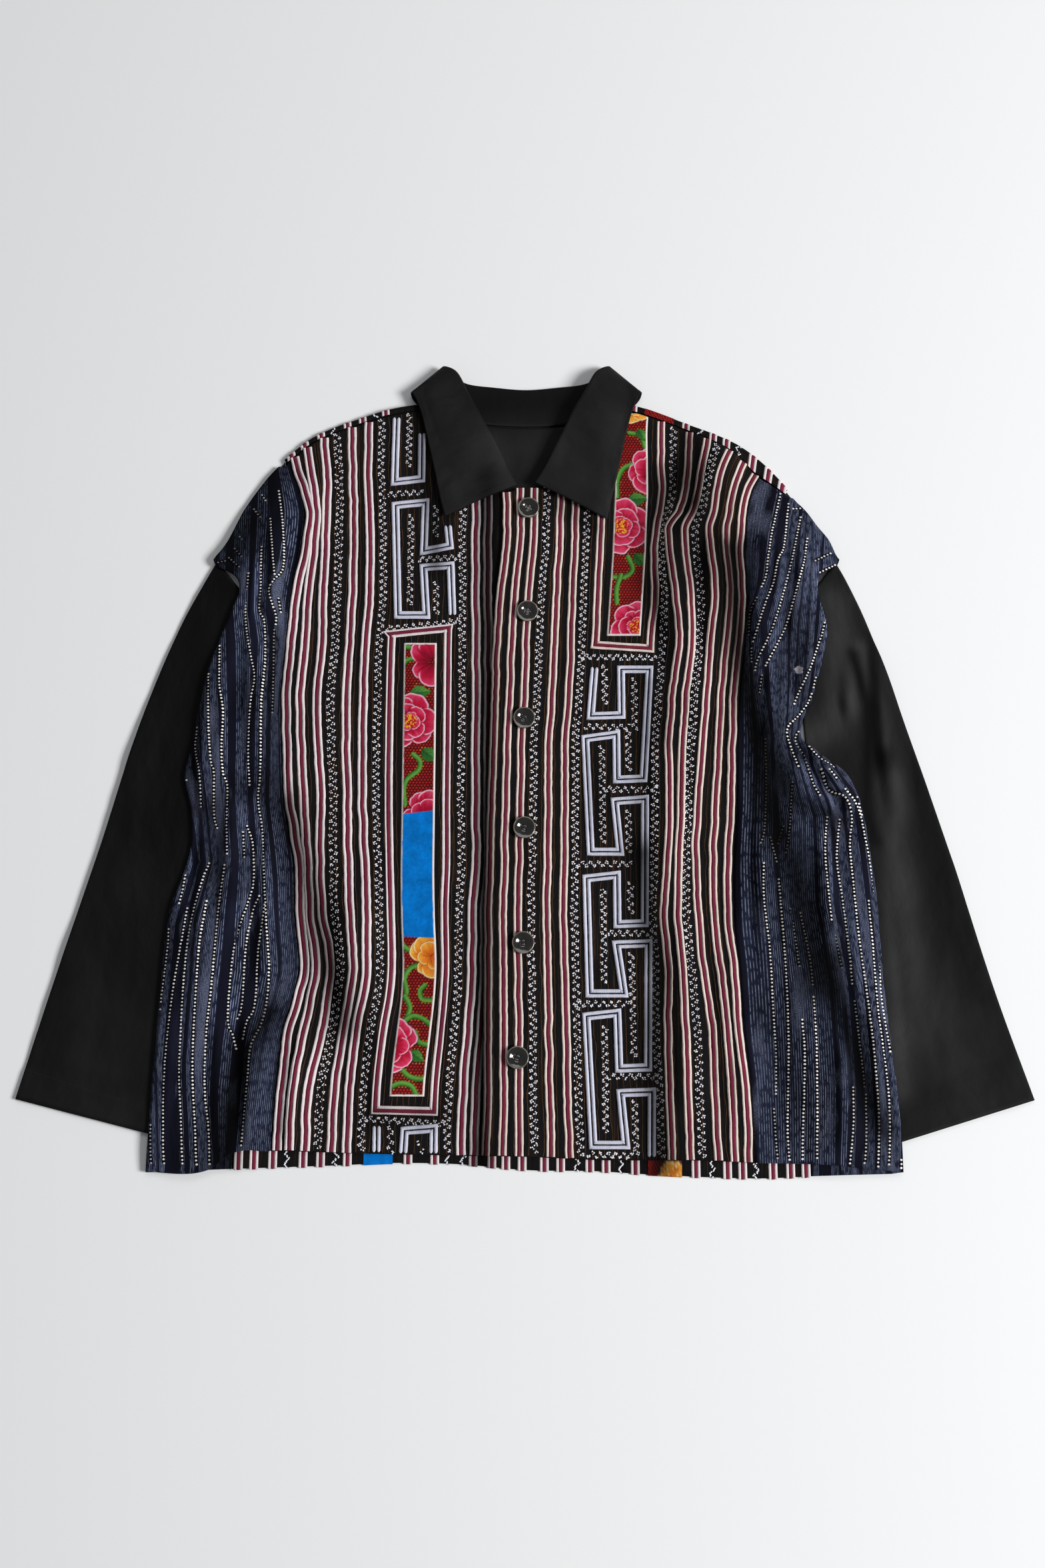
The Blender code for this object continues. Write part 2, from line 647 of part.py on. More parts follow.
def back(finish, collection):
    """The back panel, which folds over the shoulders and meets the tops of the fronts."""
    turns = (45, 90, 135, 180)
    x_top = np.array([
        -225.6, -213, -199, -183, -160, -125, -90, -80, -64, -45, -22, 0, 22,
        45, 64, 80, 90, 125, 160, 183, 199, 213, 228, 242.6,
    ])
    share = (x_top - x_top[0]) / (x_top[-1] - x_top[0])
    v = 1 - np.array(ROWS["right"][::-1])[:, None]
    rows = len(v)
    low_left = back_seam("right", -370.0) + SEAM_GAP / 2
    low_right = back_seam("left", -370.0) - SEAM_GAP / 2
    x_low = low_left + (low_right - low_left) * share
    radius = (STRIPED + LAYER_GAP) / 2
    wraps = np.abs(x_top) >= 90
    # Direction out of the folded edge, level with the table.
    step = 1.5
    slope = (shoulder_line(x_top + step) - shoulder_line(x_top - step)) / (2 * step)
    slope = np.where(np.abs(np.abs(x_top) - 90) < 1, -np.sign(x_top) * 0.1, slope)
    out = np.stack([-slope, np.ones_like(slope)], axis=1)
    out /= np.linalg.norm(out, axis=1)[:, None]
    y_fold = back_top(x_top)
    y_flat = np.where(wraps, y_fold - radius, y_fold)
    x = x_low + (x_top - x_low) * v
    y_low = curve(BACK_HEM, 1, x_low)
    y = y_low + (y_flat - y_low) * v
    ground = lift(x, y)
    middle = [stack(x, y, ground + STRIPED / 2)]
    facing_out = [np.broadcast_to([0.0, 0.0, -1.0], (rows, len(x_top), 3))]
    rise = lift(x_top, y_flat) + STRIPED / 2
    for angle in turns:
        turn = math.radians(angle)
        level, up = math.sin(turn), -math.cos(turn)
        ring = stack(
            x_top + out[:, 0] * radius * level,
            y_flat + out[:, 1] * radius * level,
            rise + radius + radius * up,
        )
        middle.append(ring[None])
        facing_out.append(
            np.stack([out[:, 0] * level, out[:, 1] * level, np.full(len(x_top), up)], 1)[None]
        )
    over = curve(BACK_OVER_SHOULDER, 1, x_top) - radius
    for part in (0.5, 1.0):
        down_x = x_top - out[:, 0] * over * part * 0.2
        down_y = shoulder_line(down_x) - radius - over * part
        fold = ridges(BODY_FOLDS, down_x, down_y)
        middle.append(
            stack(down_x, down_y, lift(down_x, down_y) + STRIPED / 2 + 2 * radius + fold)[None]
        )
        facing_out.append(np.broadcast_to([0.0, 0.0, 1.0], (1, len(x_top), 3)))
    middle = np.concatenate(middle)
    facing_out = np.concatenate(facing_out)
    keep = np.ones(middle.shape[:2], bool)
    keep[rows:, ~wraps] = False
    inner = middle - facing_out * STRIPED / 2
    outer = middle + facing_out * STRIPED / 2
    wall("back", inner, outer, finish, collection, keep=keep)


def facing(finish, collection):
    rows, columns = 6, 11
    x = np.linspace(-56, 56, columns)[None, :]
    v = np.linspace(0, 1, rows)[:, None]
    top = curve(BACK_FACING, 1, x)
    low = curve(BACK_FACING, 2, x)
    y = top + (low - top) * v
    x = np.broadcast_to(x, y.shape)
    under = lift(x, y) + STRIPED + 0.6
    wall(
        "back_facing",
        stack(x, y, under),
        stack(x, y, under + FACING),
        finish,
        collection,
    )


def max_over(line, y, reach):
    return np.max([line(y + reach * step) for step in (-1, -0.5, 0, 0.5, 1)], axis=0)


def sleeve(side, finish, collection):
    outer_edge = LEFT_SLEEVE_OUTER if side == "left" else RIGHT_SLEEVE_OUTER
    inner_edge = LEFT_SLEEVE_INNER if side == "left" else RIGHT_SLEEVE_INNER
    flat, round_steps = 10, 3
    v = np.concatenate([np.linspace(0, 0.14, 4), np.linspace(0.21, 1, 10)])
    ends = [
        np.stack([curve(edge, 1, v), curve(edge, 2, v)], axis=1)
        for edge in (outer_edge, inner_edge)
    ]
    grids = []
    for half in (SLEEVE_HALF - TWILL, SLEEVE_HALF):
        loop = []
        inset = SLEEVE_HALF / np.linalg.norm(ends[1] - ends[0], axis=1)
        # Top layer, outer edge to inner edge, then round it and back below.
        for step in range(flat):
            loop.append((inset + (1 - 2 * inset) * step / (flat - 1), half))
        for step in range(1, round_steps):
            turn = math.pi * step / round_steps
            loop.append((1 - inset + math.sin(turn) * half / SLEEVE_HALF * inset, half * math.cos(turn)))
        for step in range(flat):
            loop.append((1 - inset - (1 - 2 * inset) * step / (flat - 1), -half))
        for step in range(1, round_steps):
            turn = math.pi * step / round_steps
            loop.append((inset - math.sin(turn) * half / SLEEVE_HALF * inset, -half * math.cos(turn)))
        loop.append(loop[0])
        points = []
        for share, height in loop:
            share = np.broadcast_to(share, v.shape)[:, None]
            plan = ends[0] * (1 - share) + ends[1] * share
            x, y = plan[:, 0], plan[:, 1]
            z = np.full(len(x), SLEEVE_HALF + height)
            if height > 0:
                sign = 1 if side == "left" else -1
                covered = max_over(lambda at: sign * side_edge(at, side), y, 24.0)
                free = smooth_step((x * sign - covered - 8) / 24)
                shape = smooth_step(height / (half * 0.9))
                z = z + ridges(SLEEVE_FOLDS, x, y) * free * shape
            points.append(stack(x, y, z))
        grids.append(np.stack(points, axis=1))
    wall("sleeve_" + side, grids[0], grids[1], finish, collection, closed=True)


def collar_surface(share, across):
    """A point of the collar's middle surface, and the sections it is lofted through."""
    values = [curve(COLLAR_SECTIONS, column, share) for column in range(1, 12)]
    neck, roll, edge = (np.array(values[i : i + 3]) for i in (0, 3, 6))
    turn, radius = math.radians(values[9]), values[10]
    inward = (neck + edge) / 2 - roll
    inward[2] *= 0.2
    inward /= np.linalg.norm(inward)
    beside = edge - neck
    beside[2] = 0
    beside -= inward * beside.dot(inward)
    beside[2] = 0
    beside /= max(np.linalg.norm(beside), 1e-6)
    upward = math.cos(turn) * np.array([0.0, 0.0, 1.0]) + math.sin(turn) * beside
    upward -= inward * upward.dot(inward)
    upward /= np.linalg.norm(upward)
    centre = roll + inward * radius
    if across <= 1:
        start = centre - upward * radius
        return neck + (start - neck) * across
    if across < 2:
        angle = math.pi * (across - 1)
        return centre + radius * (
            -inward * math.sin(angle) - upward * math.cos(angle)
        )
    start = centre + upward * radius
    t = across - 2
    point = start + (edge - start) * t
    if turn < 1.2:
        # The fall has a soft crown and rests on the front.
        point[2] += 1.6 * math.sin(math.pi * t)
        side = "left" if point[0] > 0 else "right"
        rest = float(top_of_front(side, point[0], point[1])) + 1.2
        rest += (STRIP_GAP + APPLIQUE) * float(smooth_step((t - 0.1) / 0.4))
        point[2] = max(point[2], rest)
    return point


def collar(finish, collection):
    shares = np.linspace(0, 1, 45)
    across = [0, 0.35, 0.7, 1, 1.25, 1.5, 1.75, 2, 2.2, 2.45, 2.72, 3]
    middle = np.array([[collar_surface(s, a) for a in across] for s in shares])
    along = np.gradient(middle, axis=0)
    over = np.gradient(middle, axis=1)
    normal = np.cross(along, over)
    normal /= np.linalg.norm(normal, axis=2)[:, :, None]
    half = COLLAR / 2
    inner, outer = middle - normal * half, middle + normal * half
    wall("collar", inner, outer, finish, collection, mirrored=True)


def top_of_front(side, x, y):
    under = front_under(x, y, side, STRIPED)
    return under + STRIPED + relief(side, x, y, band_lines(side))


def even_steps(points, spacing):
    """Points along a broken line, its corners among them."""
    found = []
    for (x0, y0), (x1, y1) in zip(points, points[1:]):
        parts = max(1, round(math.hypot(x1 - x0, y1 - y0) / spacing))
        for step in range(parts):
            found.append((x0 + (x1 - x0) * step / parts, y0 + (y1 - y0) * step / parts))
    found.append(points[-1])
    return np.array(found, float)


def key_strip(name, side, points, finish, collection):
    """A doubled strip that follows a key pattern, with mitred corners, lying on a front."""
    line = even_steps(points, 18.0)
    step = np.diff(line, axis=0)
    step /= np.linalg.norm(step, axis=1)[:, None]
    before = np.concatenate([step[:1], step])
    after = np.concatenate([step, step[-1:]])
    mean = before + after
    mean /= np.linalg.norm(mean, axis=1)[:, None]
    reach = 1.0 / np.sum(mean * after, axis=1)
    normal = np.stack([-mean[:, 1], mean[:, 0]], axis=1) * reach[:, None]
    offsets = np.array([-0.5, 0.5]) * KEY_WIDTH
    plan = line[:, None, :] + normal[:, None, :] * offsets[None, :, None]
    x, y = plan[..., 0], plan[..., 1]
    under = top_of_front(side, x, y) + STRIP_GAP
    wall(
        name, stack(x, y, under), stack(x, y, under + APPLIQUE), finish, collection
    )


def print_strip(name, side, high, low, half_width, finish, collection):
    """A printed strip between the frame bands of a front."""
    y = np.linspace(high, low, max(3, round((high - low) / 16)))[:, None]
    middle = guide(side, "print", y)
    if side == "left":
        # Under the collar the strip narrows to the shoulder seam.
        high_end = front_top(middle, side) - 2.0
        y = np.minimum(y, high_end)
        middle = guide(side, "print", y)
    offsets = np.linspace(-half_width, half_width, 5)[None, :]
    x = middle + offsets
    y = np.broadcast_to(y, x.shape).copy()
    y = np.minimum(y, front_top(x, side) - 1.0)
    under = top_of_front(side, x, y) + STRIP_GAP
    wall(
        name, stack(x, y, under), stack(x, y, under + APPLIQUE), finish, collection
    )


def button(number, x, y, finish, collection):
    """A four-hole button: a turned disc with a rim and a dished middle."""
    profile = (
        # radius, height
        (0.0, 1.6), (6.2, 1.7), (8.2, 3.0), (10.0, 1.8), (8.6, 0.0), (0.0, 0.0),
    )
    curve_points = [(radius * MM, 0.0, height * MM) for radius, height in profile]
    mesh = bpy.data.meshes.new(f"button_{number}")
    edges = [(i, i + 1) for i in range(len(curve_points) - 1)]
    mesh.from_pydata(curve_points, edges, [])
    mesh.materials.append(finish)
    made = bpy.data.objects.new(f"button_{number}", mesh)
    turned = made.modifiers.new("turned", "SCREW")
    turned.steps = turned.render_steps = 12
    turned.use_merge_vertices = True
    turned.merge_threshold = 0.00002
    turned.use_smooth_shade = True
    around = np.linspace(0, 2 * math.pi, 25)
    reach = np.array([0.0, 0.5, 1.0])[:, None] * BUTTON_RADIUS
    height = top_of_front("left", x + reach * np.cos(around), y + reach * np.sin(around))
    made.matrix_world = Matrix.Translation(
        (x * MM, y * MM, (float(height.max()) + 0.5) * MM)
    )
    collection.objects.link(made)


def build():
    clear_scene()
    jacket = bpy.data.collections.new("embroidered_jacket")
    bpy.context.scene.collection.children.link(jacket)
    striped = material("striped_cloth", (0.075, 0.035, 0.032), 0.9)
    indigo = material("indigo_batik", (0.022, 0.033, 0.075), 0.88)
    twill = material("black_twill", (0.011, 0.011, 0.012), 0.85)
    white = material("white_applique", (0.62, 0.62, 0.70), 0.9)
    printed = material("printed_strip", (0.42, 0.03, 0.05), 0.8)
    horn = material("dark_horn", (0.03, 0.027, 0.024), 0.25)

    for side in ("right", "left"):
        sleeve(side, twill, jacket)
        side_back(side, indigo, jacket)
        striped_front(side, striped, jacket)
        side_front(side, indigo, jacket)
    back(striped, jacket)
    facing(twill, jacket)
    collar(twill, jacket)
    key_strip("key_strip_right_top", "right", KEY_RIGHT_TOP, white, jacket)
    key_strip("key_strip_right_middle", "right", KEY_RIGHT_MIDDLE, white, jacket)
    key_strip("key_strip_right_hem_1", "right", KEY_RIGHT_HEM_1, white, jacket)
    key_strip("key_strip_right_hem_2", "right", KEY_RIGHT_HEM_2, white, jacket)
    key_strip("key_strip_left", "left", KEY_LEFT, white, jacket)
    print_strip("print_strip_right", "right", *PRINT_RIGHT, printed, jacket)
    print_strip("print_strip_left", "left", *PRINT_LEFT, printed, jacket)
    for number, (x, y) in enumerate(BUTTON_CENTRES, 1):
        button(number, x, y, horn, jacket)


build()
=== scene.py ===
"""Looks of the Hmong embroidered jacket: cloth, bands, stitching, prints and buttons.

The tables are those of the model's own source and the shape functions work as its
do, so each piece lies where its solid does. Lengths in them are millimetres.
"""

import math

import bmesh
import bpy
import numpy as np
from mathutils import Matrix, Vector


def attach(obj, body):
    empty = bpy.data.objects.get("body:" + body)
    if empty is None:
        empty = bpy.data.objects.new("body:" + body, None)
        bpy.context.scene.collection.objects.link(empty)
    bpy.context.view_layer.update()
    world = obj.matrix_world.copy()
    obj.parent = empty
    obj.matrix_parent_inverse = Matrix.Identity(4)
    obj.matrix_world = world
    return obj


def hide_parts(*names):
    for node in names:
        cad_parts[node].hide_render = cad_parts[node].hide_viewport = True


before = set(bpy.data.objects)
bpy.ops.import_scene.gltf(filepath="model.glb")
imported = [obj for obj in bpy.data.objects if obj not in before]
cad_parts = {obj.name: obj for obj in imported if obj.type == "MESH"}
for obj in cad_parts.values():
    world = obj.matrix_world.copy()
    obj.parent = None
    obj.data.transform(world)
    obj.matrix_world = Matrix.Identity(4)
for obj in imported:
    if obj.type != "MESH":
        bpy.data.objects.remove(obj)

MM = 0.001

# Thickness of each cloth, and the room left between two layers.
STRIPED = 1.6
INDIGO = 1.2
COLLAR = 1.2
FACING = 1.0
APPLIQUE = 1.0
LAYER_GAP = 1.2
STRIP_GAP = 0.9
SEAM_GAP = 0.4

# Raised bands: width and height of the rib that each one makes.
BAND_WIDTH = 9.0
BAND_HEIGHT = 0.8

SHOULDER_TIP_Y = 181.0

# Sleeves: half the height of the flattened tube, and the room that the body
# needs over it and over the collar's fall, with the width of the ramp up.
SLEEVE_HALF = 1.7
SLEEVE_LIFT = 4.4
SLEEVE_RAMP = 64.0
FALL_LIFT = 2.4
FACING_LIFT = 1.3

# The left front laps over the right one by this much.
LAP = 38.0
LAP_LIFT = 2.5
LAP_RAMP = 20.0

BUTTON_RADIUS = 10.0
BUTTON_CENTRES = ((2, 230), (1, 130), (-2, 29), (-2, -72), (-3, -175), (-8, -275))

# Right front: the X of its guide lines, from the side seam to the buttons.
RIGHT_GUIDES = (
    # y, seam, band_3, band_5, print, band_7
    (345, -232, -193, -150, -98, -50),
    (300, -226, -190, -148, -98, -48),
    (270, -219, -187, -148, -98, -47),
    (250, -212, -186, -147, -97, -47),
    (225, -206, -186, -146, -96, -47),
    (200, -208, -186, -145, -96, -47),
    (150, -216, -187, -144, -95, -47),
    (100, -220, -187, -147, -97, -46),
    (50, -223, -190, -148, -97, -46),
    (0, -221, -188, -148, -97, -46),
    (-50, -217, -184, -147, -97, -46),
    (-100, -208, -184, -144, -97, -45),
    (-150, -205, -180, -141, -96, -48),
    (-195, -200, -172, -140, -94, -48),
    (-220, -204, -174, -142, -95, -49),
    (-250, -212, -178, -148, -98, -51),
    (-300, -217, -188, -153, -103, -55),
    (-385, -221, -190, -155, -104, -57),
)

# Left front: the X of its guide lines, from the buttons to the side seam.
LEFT_GUIDES = (
    # y, edge, band_5, print, frame, band_7, band_9, seam
    (345, -20, 52, 101, 129, 157, 205, 247),
    (300, -21, 50, 98, 126, 153, 195, 234),
    (270, -22, 48, 98, 126, 150, 182, 221),
    (250, -23, 47, 98, 126, 148, 177, 211),
    (230, -22, 46, 97, 124, 142, 174, 206),
    (210, -22, 45, 96, 120, 131, 169, 204),
    (190, -23, 44, 95, 118, 132, 170, 202),
    (150, -28, 42, 92, 118, 136, 173, 203),
    (110, -31, 41, 89, 114, 139, 169, 200),
    (50, -33, 38, 84, 110, 132, 163, 193),
    (0, -34, 34, 80, 106, 128, 158, 190),
    (-50, -36, 34, 80, 105, 128, 153, 188),
    (-100, -37, 33, 80, 104, 125, 150, 184),
    (-150, -38, 32, 80, 104, 121, 152, 183),
    (-200, -38, 33, 80, 104, 124, 155, 187),
    (-250, -38, 34, 78, 104, 123, 161, 189),
    (-300, -38, 35, 81, 108, 123, 162, 194),
    (-385, -41, 37, 82, 108, 125, 165, 195),
)

# Each band lies between two guide lines, at a share of the way.
RIGHT_BANDS = (
    # guide, next guide, share of the way, shift, from y, to y
    ("seam", "seam", 0.0, 5.3, 400, -400),
    ("seam", "band_3", 0.54, 0.0, 400, -400),
    ("band_3", "band_3", 0.0, 0.0, 400, -400),
    ("band_3", "band_5", 0.63, 0.0, 400, -400),
    ("band_5", "band_5", 0.0, 0.0, 400, -400),
    ("band_5", "print", 0.46, 0.0, 112, -320),
    ("print", "band_7", 0.50, 0.0, 112, -320),
    ("band_7", "band_7", 0.0, 0.0, 400, -400),
    ("band_7", "band_7", 0.0, 11.2, 400, -400),
)
LEFT_BANDS = (
    # guide, next guide, share of the way, shift, from y, to y
    ("edge", "edge", 0.0, 4.2, 400, -400),
    ("edge", "band_5", 0.245, 0.0, 400, -400),
    ("edge", "band_5", 0.43, 0.0, 400, -400),
    ("edge", "band_5", 0.79, 0.0, 400, -400),
    ("band_5", "band_5", 0.0, 0.0, 400, -400),
    ("band_5", "print", 0.465, 0.0, 400, 96),
    ("frame", "frame", 0.0, 0.0, 400, 96),
    ("band_7", "band_7", 0.0, 0.0, 400, -400),
    ("band_7", "band_9", 0.40, 0.0, 400, -400),
    ("band_9", "band_9", 0.0, 0.0, 400, -400),
    ("band_9", "seam", 0.455, 0.0, 400, -400),
    ("seam", "seam", 0.0, -5.3, 400, -400),
)

# Outer edges of the body from the shoulder tip down to the hem.
RIGHT_SIDE = (
    # y, x
    (181, -289), (175, -286), (168, -272), (160, -265), (150, -264),
    (138, -268), (110, -278), (83, -287), (40, -296), (7, -301),
    (-25, -307), (-55, -300), (-82, -298), (-110, -303), (-140, -313),
    (-165, -317), (-215, -320), (-280, -323), (-372, -326),
)
LEFT_SIDE = (
    (181, 289), (175, 286), (168, 273), (158, 268), (145, 269),
    (115, 275), (90, 271), (65, 264), (40, 256), (22, 248),
    (8, 249), (-5, 264), (-18, 284), (-38, 295), (-62, 301),
    (-90, 305), (-130, 309), (-200, 312), (-250, 315), (-320, 321),
    (-372, 322),
)

# The folded edge along the shoulders, seen from above, and the neckline.
SHOULDERS = (
    # x, y
    (-289, 181), (-276, 201), (-263, 231), (-250, 252), (-239, 267),
    (-224, 283), (-202, 302), (-181, 313), (-160, 321), (-132, 330),
    (-107, 335), (-90, 337),
)
LEFT_SHOULDER = (
    (90, 337), (107, 333), (124, 327), (150, 317), (176, 307), (198, 296),
    (217, 281), (234, 263), (250, 242), (260, 231), (269, 216), (284, 194),
    (289, 181),
)
NECKLINE = (
    # x, y of the fronts, y of the back
    (-90, 337, 337), (-80, 323, 330), (-66, 304, 322), (-50, 284, 316.5),
    (-33, 266.5, 314), (-15, 251, 313), (10, 251, 313), (33, 266.5, 314),
    (50, 284, 316.5), (66, 304, 322), (80, 323, 330), (90, 337, 337),
)

# Hems, seen from above.
FRONT_HEM = (
    # x, y
    (-326, -372), (-272, -370), (-252, -356), (-220, -354), (-150, -356),
    (-55, -358), (0, -359), (80, -362), (140, -362), (194, -364),
    (260, -366), (290, -369), (322, -372),
)
BACK_HEM = (
    (-326, -372), (-250, -369), (-160, -366), (-110, -364), (-60, -365),
    (0, -370), (60, -371), (110, -374), (200, -377), (250, -375), (322, -373),
)

# The back's side seams run straight from shoulder to hem.
BACK_SEAMS = ((285, -226, 243), (-377, -253, 243))  # y, right x, left x
BACK_OVER_SHOULDER = (
    # x, how far the back comes over the shoulder onto the front
    (-232, 0), (-226, 5), (-160, 5), (-90, 6), (90, 6), (150, 6), (185, 8),
    (215, 16), (238, 9), (243, 6), (249, 0),
)

# The largest folds of the fronts, as ridges along a straight spine.
BODY_FOLDS = (
    # x0, y0, x1, y1, width toward -X, width toward +X, height
    (-152, -110, -149, -262, 26, 40, 9.0),
    (-193, -225, -203, -372, 18, 22, 4.0),
    (-122, -230, -118, -360, 18, 26, 3.0),
    (-232, 235, -236, 60, 18, 20, 4.5),
    (-206, 275, -196, 165, 16, 22, 4.0),
    (-252, 150, -246, -30, 13, 20, 6.5),
    (-283, 100, -290, -60, 14, 14, 5.0),
    (-262, -30, -266, -190, 12, 16, 6.0),
    (-236, -60, -228, -235, 14, 20, 7.0),
    (-243, -215, -240, -370, 9, 24, 5.5),
    (-292, -120, -290, -345, 18, 20, 5.0),
    (-180, 110, -184, -60, 24, 26, 2.0),
    (-70, 60, -68, -340, 26, 24, 2.0),
    (192, 296, 172, 240, 34, 30, 8.0),
    (172, 244, 133, 205, 16, 24, 5.0),
    (134, 218, 139, 60, 18, 22, 7.5),
    (172, 222, 169, 70, 14, 26, 7.0),
    (131, 70, 122, -150, 18, 20, 4.5),
    (160, 90, 148, -90, 18, 22, 5.0),
    (184, 60, 183, -60, 16, 20, 4.5),
    (135, -130, 136, -340, 14, 18, 5.0),
    (168, -140, 181, -350, 20, 24, 4.5),
    (228, 236, 214, 60, 16, 26, 6.0),
    (252, 216, 236, 70, 12, 16, 5.0),
    (238, 100, 224, -5, 12, 14, 5.0),
    (242, 16, 297, -64, 10, 12, 10.0),
    (262, -4, 300, -52, 5, 7, 5.0),
    (212, -60, 214, -230, 16, 16, 5.0),
    (296, -50, 306, -340, 28, 10, 6.0),
    (235, -190, 240, -366, 18, 18, 5.0),
    (272, -240, 278, -368, 14, 14, 4.0),
    (30, 120, 14, -330, 34, 34, 1.6),
)
SLEEVE_FOLDS = (
    (319, 128, 326, -90, 11, 26, 6.5),
    (326, -70, 336, -345, 13, 27, 5.0),
    (285, 92, 292, 22, 9, 14, 6.0),
    (256, 24, 302, -20, 10, 13, 6.0),
    (372, -60, 398, -300, 26, 26, 2.2),
    (-345, 60, -372, -180, 28, 34, 2.5),
    (-392, -150, -408, -318, 24, 28, 1.8),
)

# Sleeves: armhole and cuff ends of the outer and the inner edge.
RIGHT_SLEEVE_OUTER = (
    # share of the length, x, y
    (0.0, -286, 181), (0.06, -298, 158), (0.13, -315, 123), (0.30, -347, 36),
    (0.55, -380, -86), (0.8, -415, -210), (1.0, -442, -310),
)
RIGHT_SLEEVE_INNER = ((0.0, -245, 130), (0.5, -262, -165), (1.0, -280, -351))
LEFT_SLEEVE_OUTER = (
    (0.0, 286, 180), (0.06, 296, 160), (0.13, 311, 124), (0.30, 342, 27),
    (0.55, 377, -93), (0.8, 411, -220), (1.0, 439, -311),
)
LEFT_SLEEVE_INNER = ((0.0, 245, 130), (0.5, 262, -165), (1.0, 278, -360))

# Collar: its seam on the neck, the line it rolls on and its outer edge.
# turn is 0 where the fall lies on top and 180 where it lies underneath.
COLLAR_SECTIONS = (
    # share, neck x, y, z, roll x, y, z, edge x, y, z, turn, roll radius
    (0.000, -17, 256, 7.0, -9, 253, 9.6, -76, 223, 8.2, 0, 1.1),
    (0.060, -30, 268, 6.8, -17, 268, 10.6, -81, 243, 7.6, 0, 1.3),
    (0.125, -45, 284, 6.5, -25, 286, 11.2, -85, 264, 7.6, 0, 1.6),
    (0.190, -60, 303, 6.6, -35, 306, 12.6, -90, 287, 7.8, 0, 1.8),
    (0.250, -73, 321, 6.8, -45, 325, 13.6, -95, 310, 8.0, 0, 1.8),
    (0.305, -82, 333, 6.6, -55, 344, 13.4, -100, 329, 8.0, 10, 2.2),
    (0.345, -85, 345, 6.5, -66, 366, 11.8, -105, 342, 7.4, 35, 2.2),
    (0.375, -79, 351, 5.2, -77, 373, 7.4, -109, 348, 4.4, 90, 1.8),
    (0.400, -71, 341, 4.2, -69, 367, 3.6, -106, 341, 1.3, 150, 1.3),
    (0.430, -58, 322, 4.1, -57, 358, 2.3, -88, 324, 0.75, 180, 1.2),
    (0.465, -36, 316, 4.0, -30, 354, 1.95, -52, 311, 0.75, 180, 1.2),
    (0.500, 0, 314, 4.0, 0, 351.5, 1.95, 0, 308, 0.75, 180, 1.2),
    (0.535, 36, 316, 4.0, 30, 354, 1.95, 52, 311, 0.75, 180, 1.2),
    (0.570, 58, 322, 4.1, 57, 358, 2.3, 88, 324, 0.75, 180, 1.2),
    (0.600, 71, 341, 4.2, 69, 367, 3.6, 106, 341, 1.3, 150, 1.3),
    (0.625, 79, 351, 5.2, 77, 373, 7.4, 109, 348, 4.4, 90, 1.8),
    (0.655, 85, 345, 6.5, 66, 366, 11.8, 105, 342, 7.4, 35, 2.2),
    (0.695, 82, 333, 6.6, 55, 345, 13.6, 100, 329, 8.0, 10, 2.2),
    (0.750, 73, 321, 6.8, 44, 326, 14.4, 95, 310, 8.0, 0, 2.2),
    (0.810, 60, 303, 6.6, 35, 307, 13.6, 90, 287, 7.8, 0, 2.0),
    (0.875, 45, 284, 7.6, 25, 286, 13.2, 85, 264, 7.6, 0, 1.8),
    (0.940, 30, 268, 8.8, 17, 269, 13.0, 80, 243, 8.0, 0, 1.4),
    (1.000, 17, 257, 9.4, 8, 254, 12.6, 75, 220, 8.2, 0, 1.1),
)
BACK_FACING = ((-56, 318.0, 300), (-30, 312.5, 246), (0, 311.5, 236), (30, 312.5, 246), (56, 318.0, 300))

# Appliqued key pattern: the middle line of each doubled white strip.
KEY_RIGHT_TOP = ((-122, 322), (-123, 258), (-98, 261), (-98, 306))
KEY_RIGHT_MIDDLE = (
    (-73, 215), (-71, 195), (-95, 190), (-94, 238), (-122, 235), (-118, 128),
    (-92, 128), (-95, 174), (-70, 176), (-68, 128),
)
KEY_RIGHT_HEM_1 = ((-129, -333), (-129, -355))
KEY_RIGHT_HEM_2 = ((-106, -356), (-105, -337), (-80, -335), (-80, -356))
KEY_LEFT = (
    (62, 78), (58, 32), (86, 33), (86, 76), (112, 76), (105, -26), (81, -27),
    (81, 15), (53, 11), (57, -93), (83, -93), (79, -47), (106, -45),
    (104, -157), (80, -158), (80, -114), (53, -117), (55, -219), (85, -219),
    (79, -176), (107, -175), (105, -283), (80, -284), (79, -236), (52, -239),
    (57, -349), (85, -349), (81, -305), (108, -304), (107, -359),
)
# Printed strips: from y, to y, half of the width.
PRINT_RIGHT = (101, -308, 15.0)
PRINT_LEFT = (336, 108, 15.5)


def smooth_step(value):
    value = np.clip(value, 0.0, 1.0)
    return value * value * (3.0 - 2.0 * value)


def curve(rows, column, at):
    """A smooth line through a table's rows: its column where its first column is `at`."""
    table = np.array(rows, float)
    if table[0, 0] > table[-1, 0]:
        table = table[::-1]
    keys, values = table[:, 0], table[:, column]
    at = np.clip(np.asarray(at, float), keys[0], keys[-1])
    chord = np.diff(values) / np.diff(keys)
    slope = np.concatenate([chord[:1], (chord[1:] + chord[:-1]) / 2, chord[-1:]])
    # A slope is limited where the line turns, so that it doesn't overshoot.
    slope[1:-1] = np.where(chord[1:] * chord[:-1] <= 0, 0.0, slope[1:-1])
    place = np.clip(np.searchsorted(keys, at, side="right") - 1, 0, len(keys) - 2)
    span = keys[place + 1] - keys[place]
    t = (at - keys[place]) / span
    return (
        values[place] * (1 + 2 * t) * (1 - t) ** 2
        + slope[place] * span * t * (1 - t) ** 2
        + values[place + 1] * t * t * (3 - 2 * t)
        + slope[place + 1] * span * t * t * (t - 1)
    )


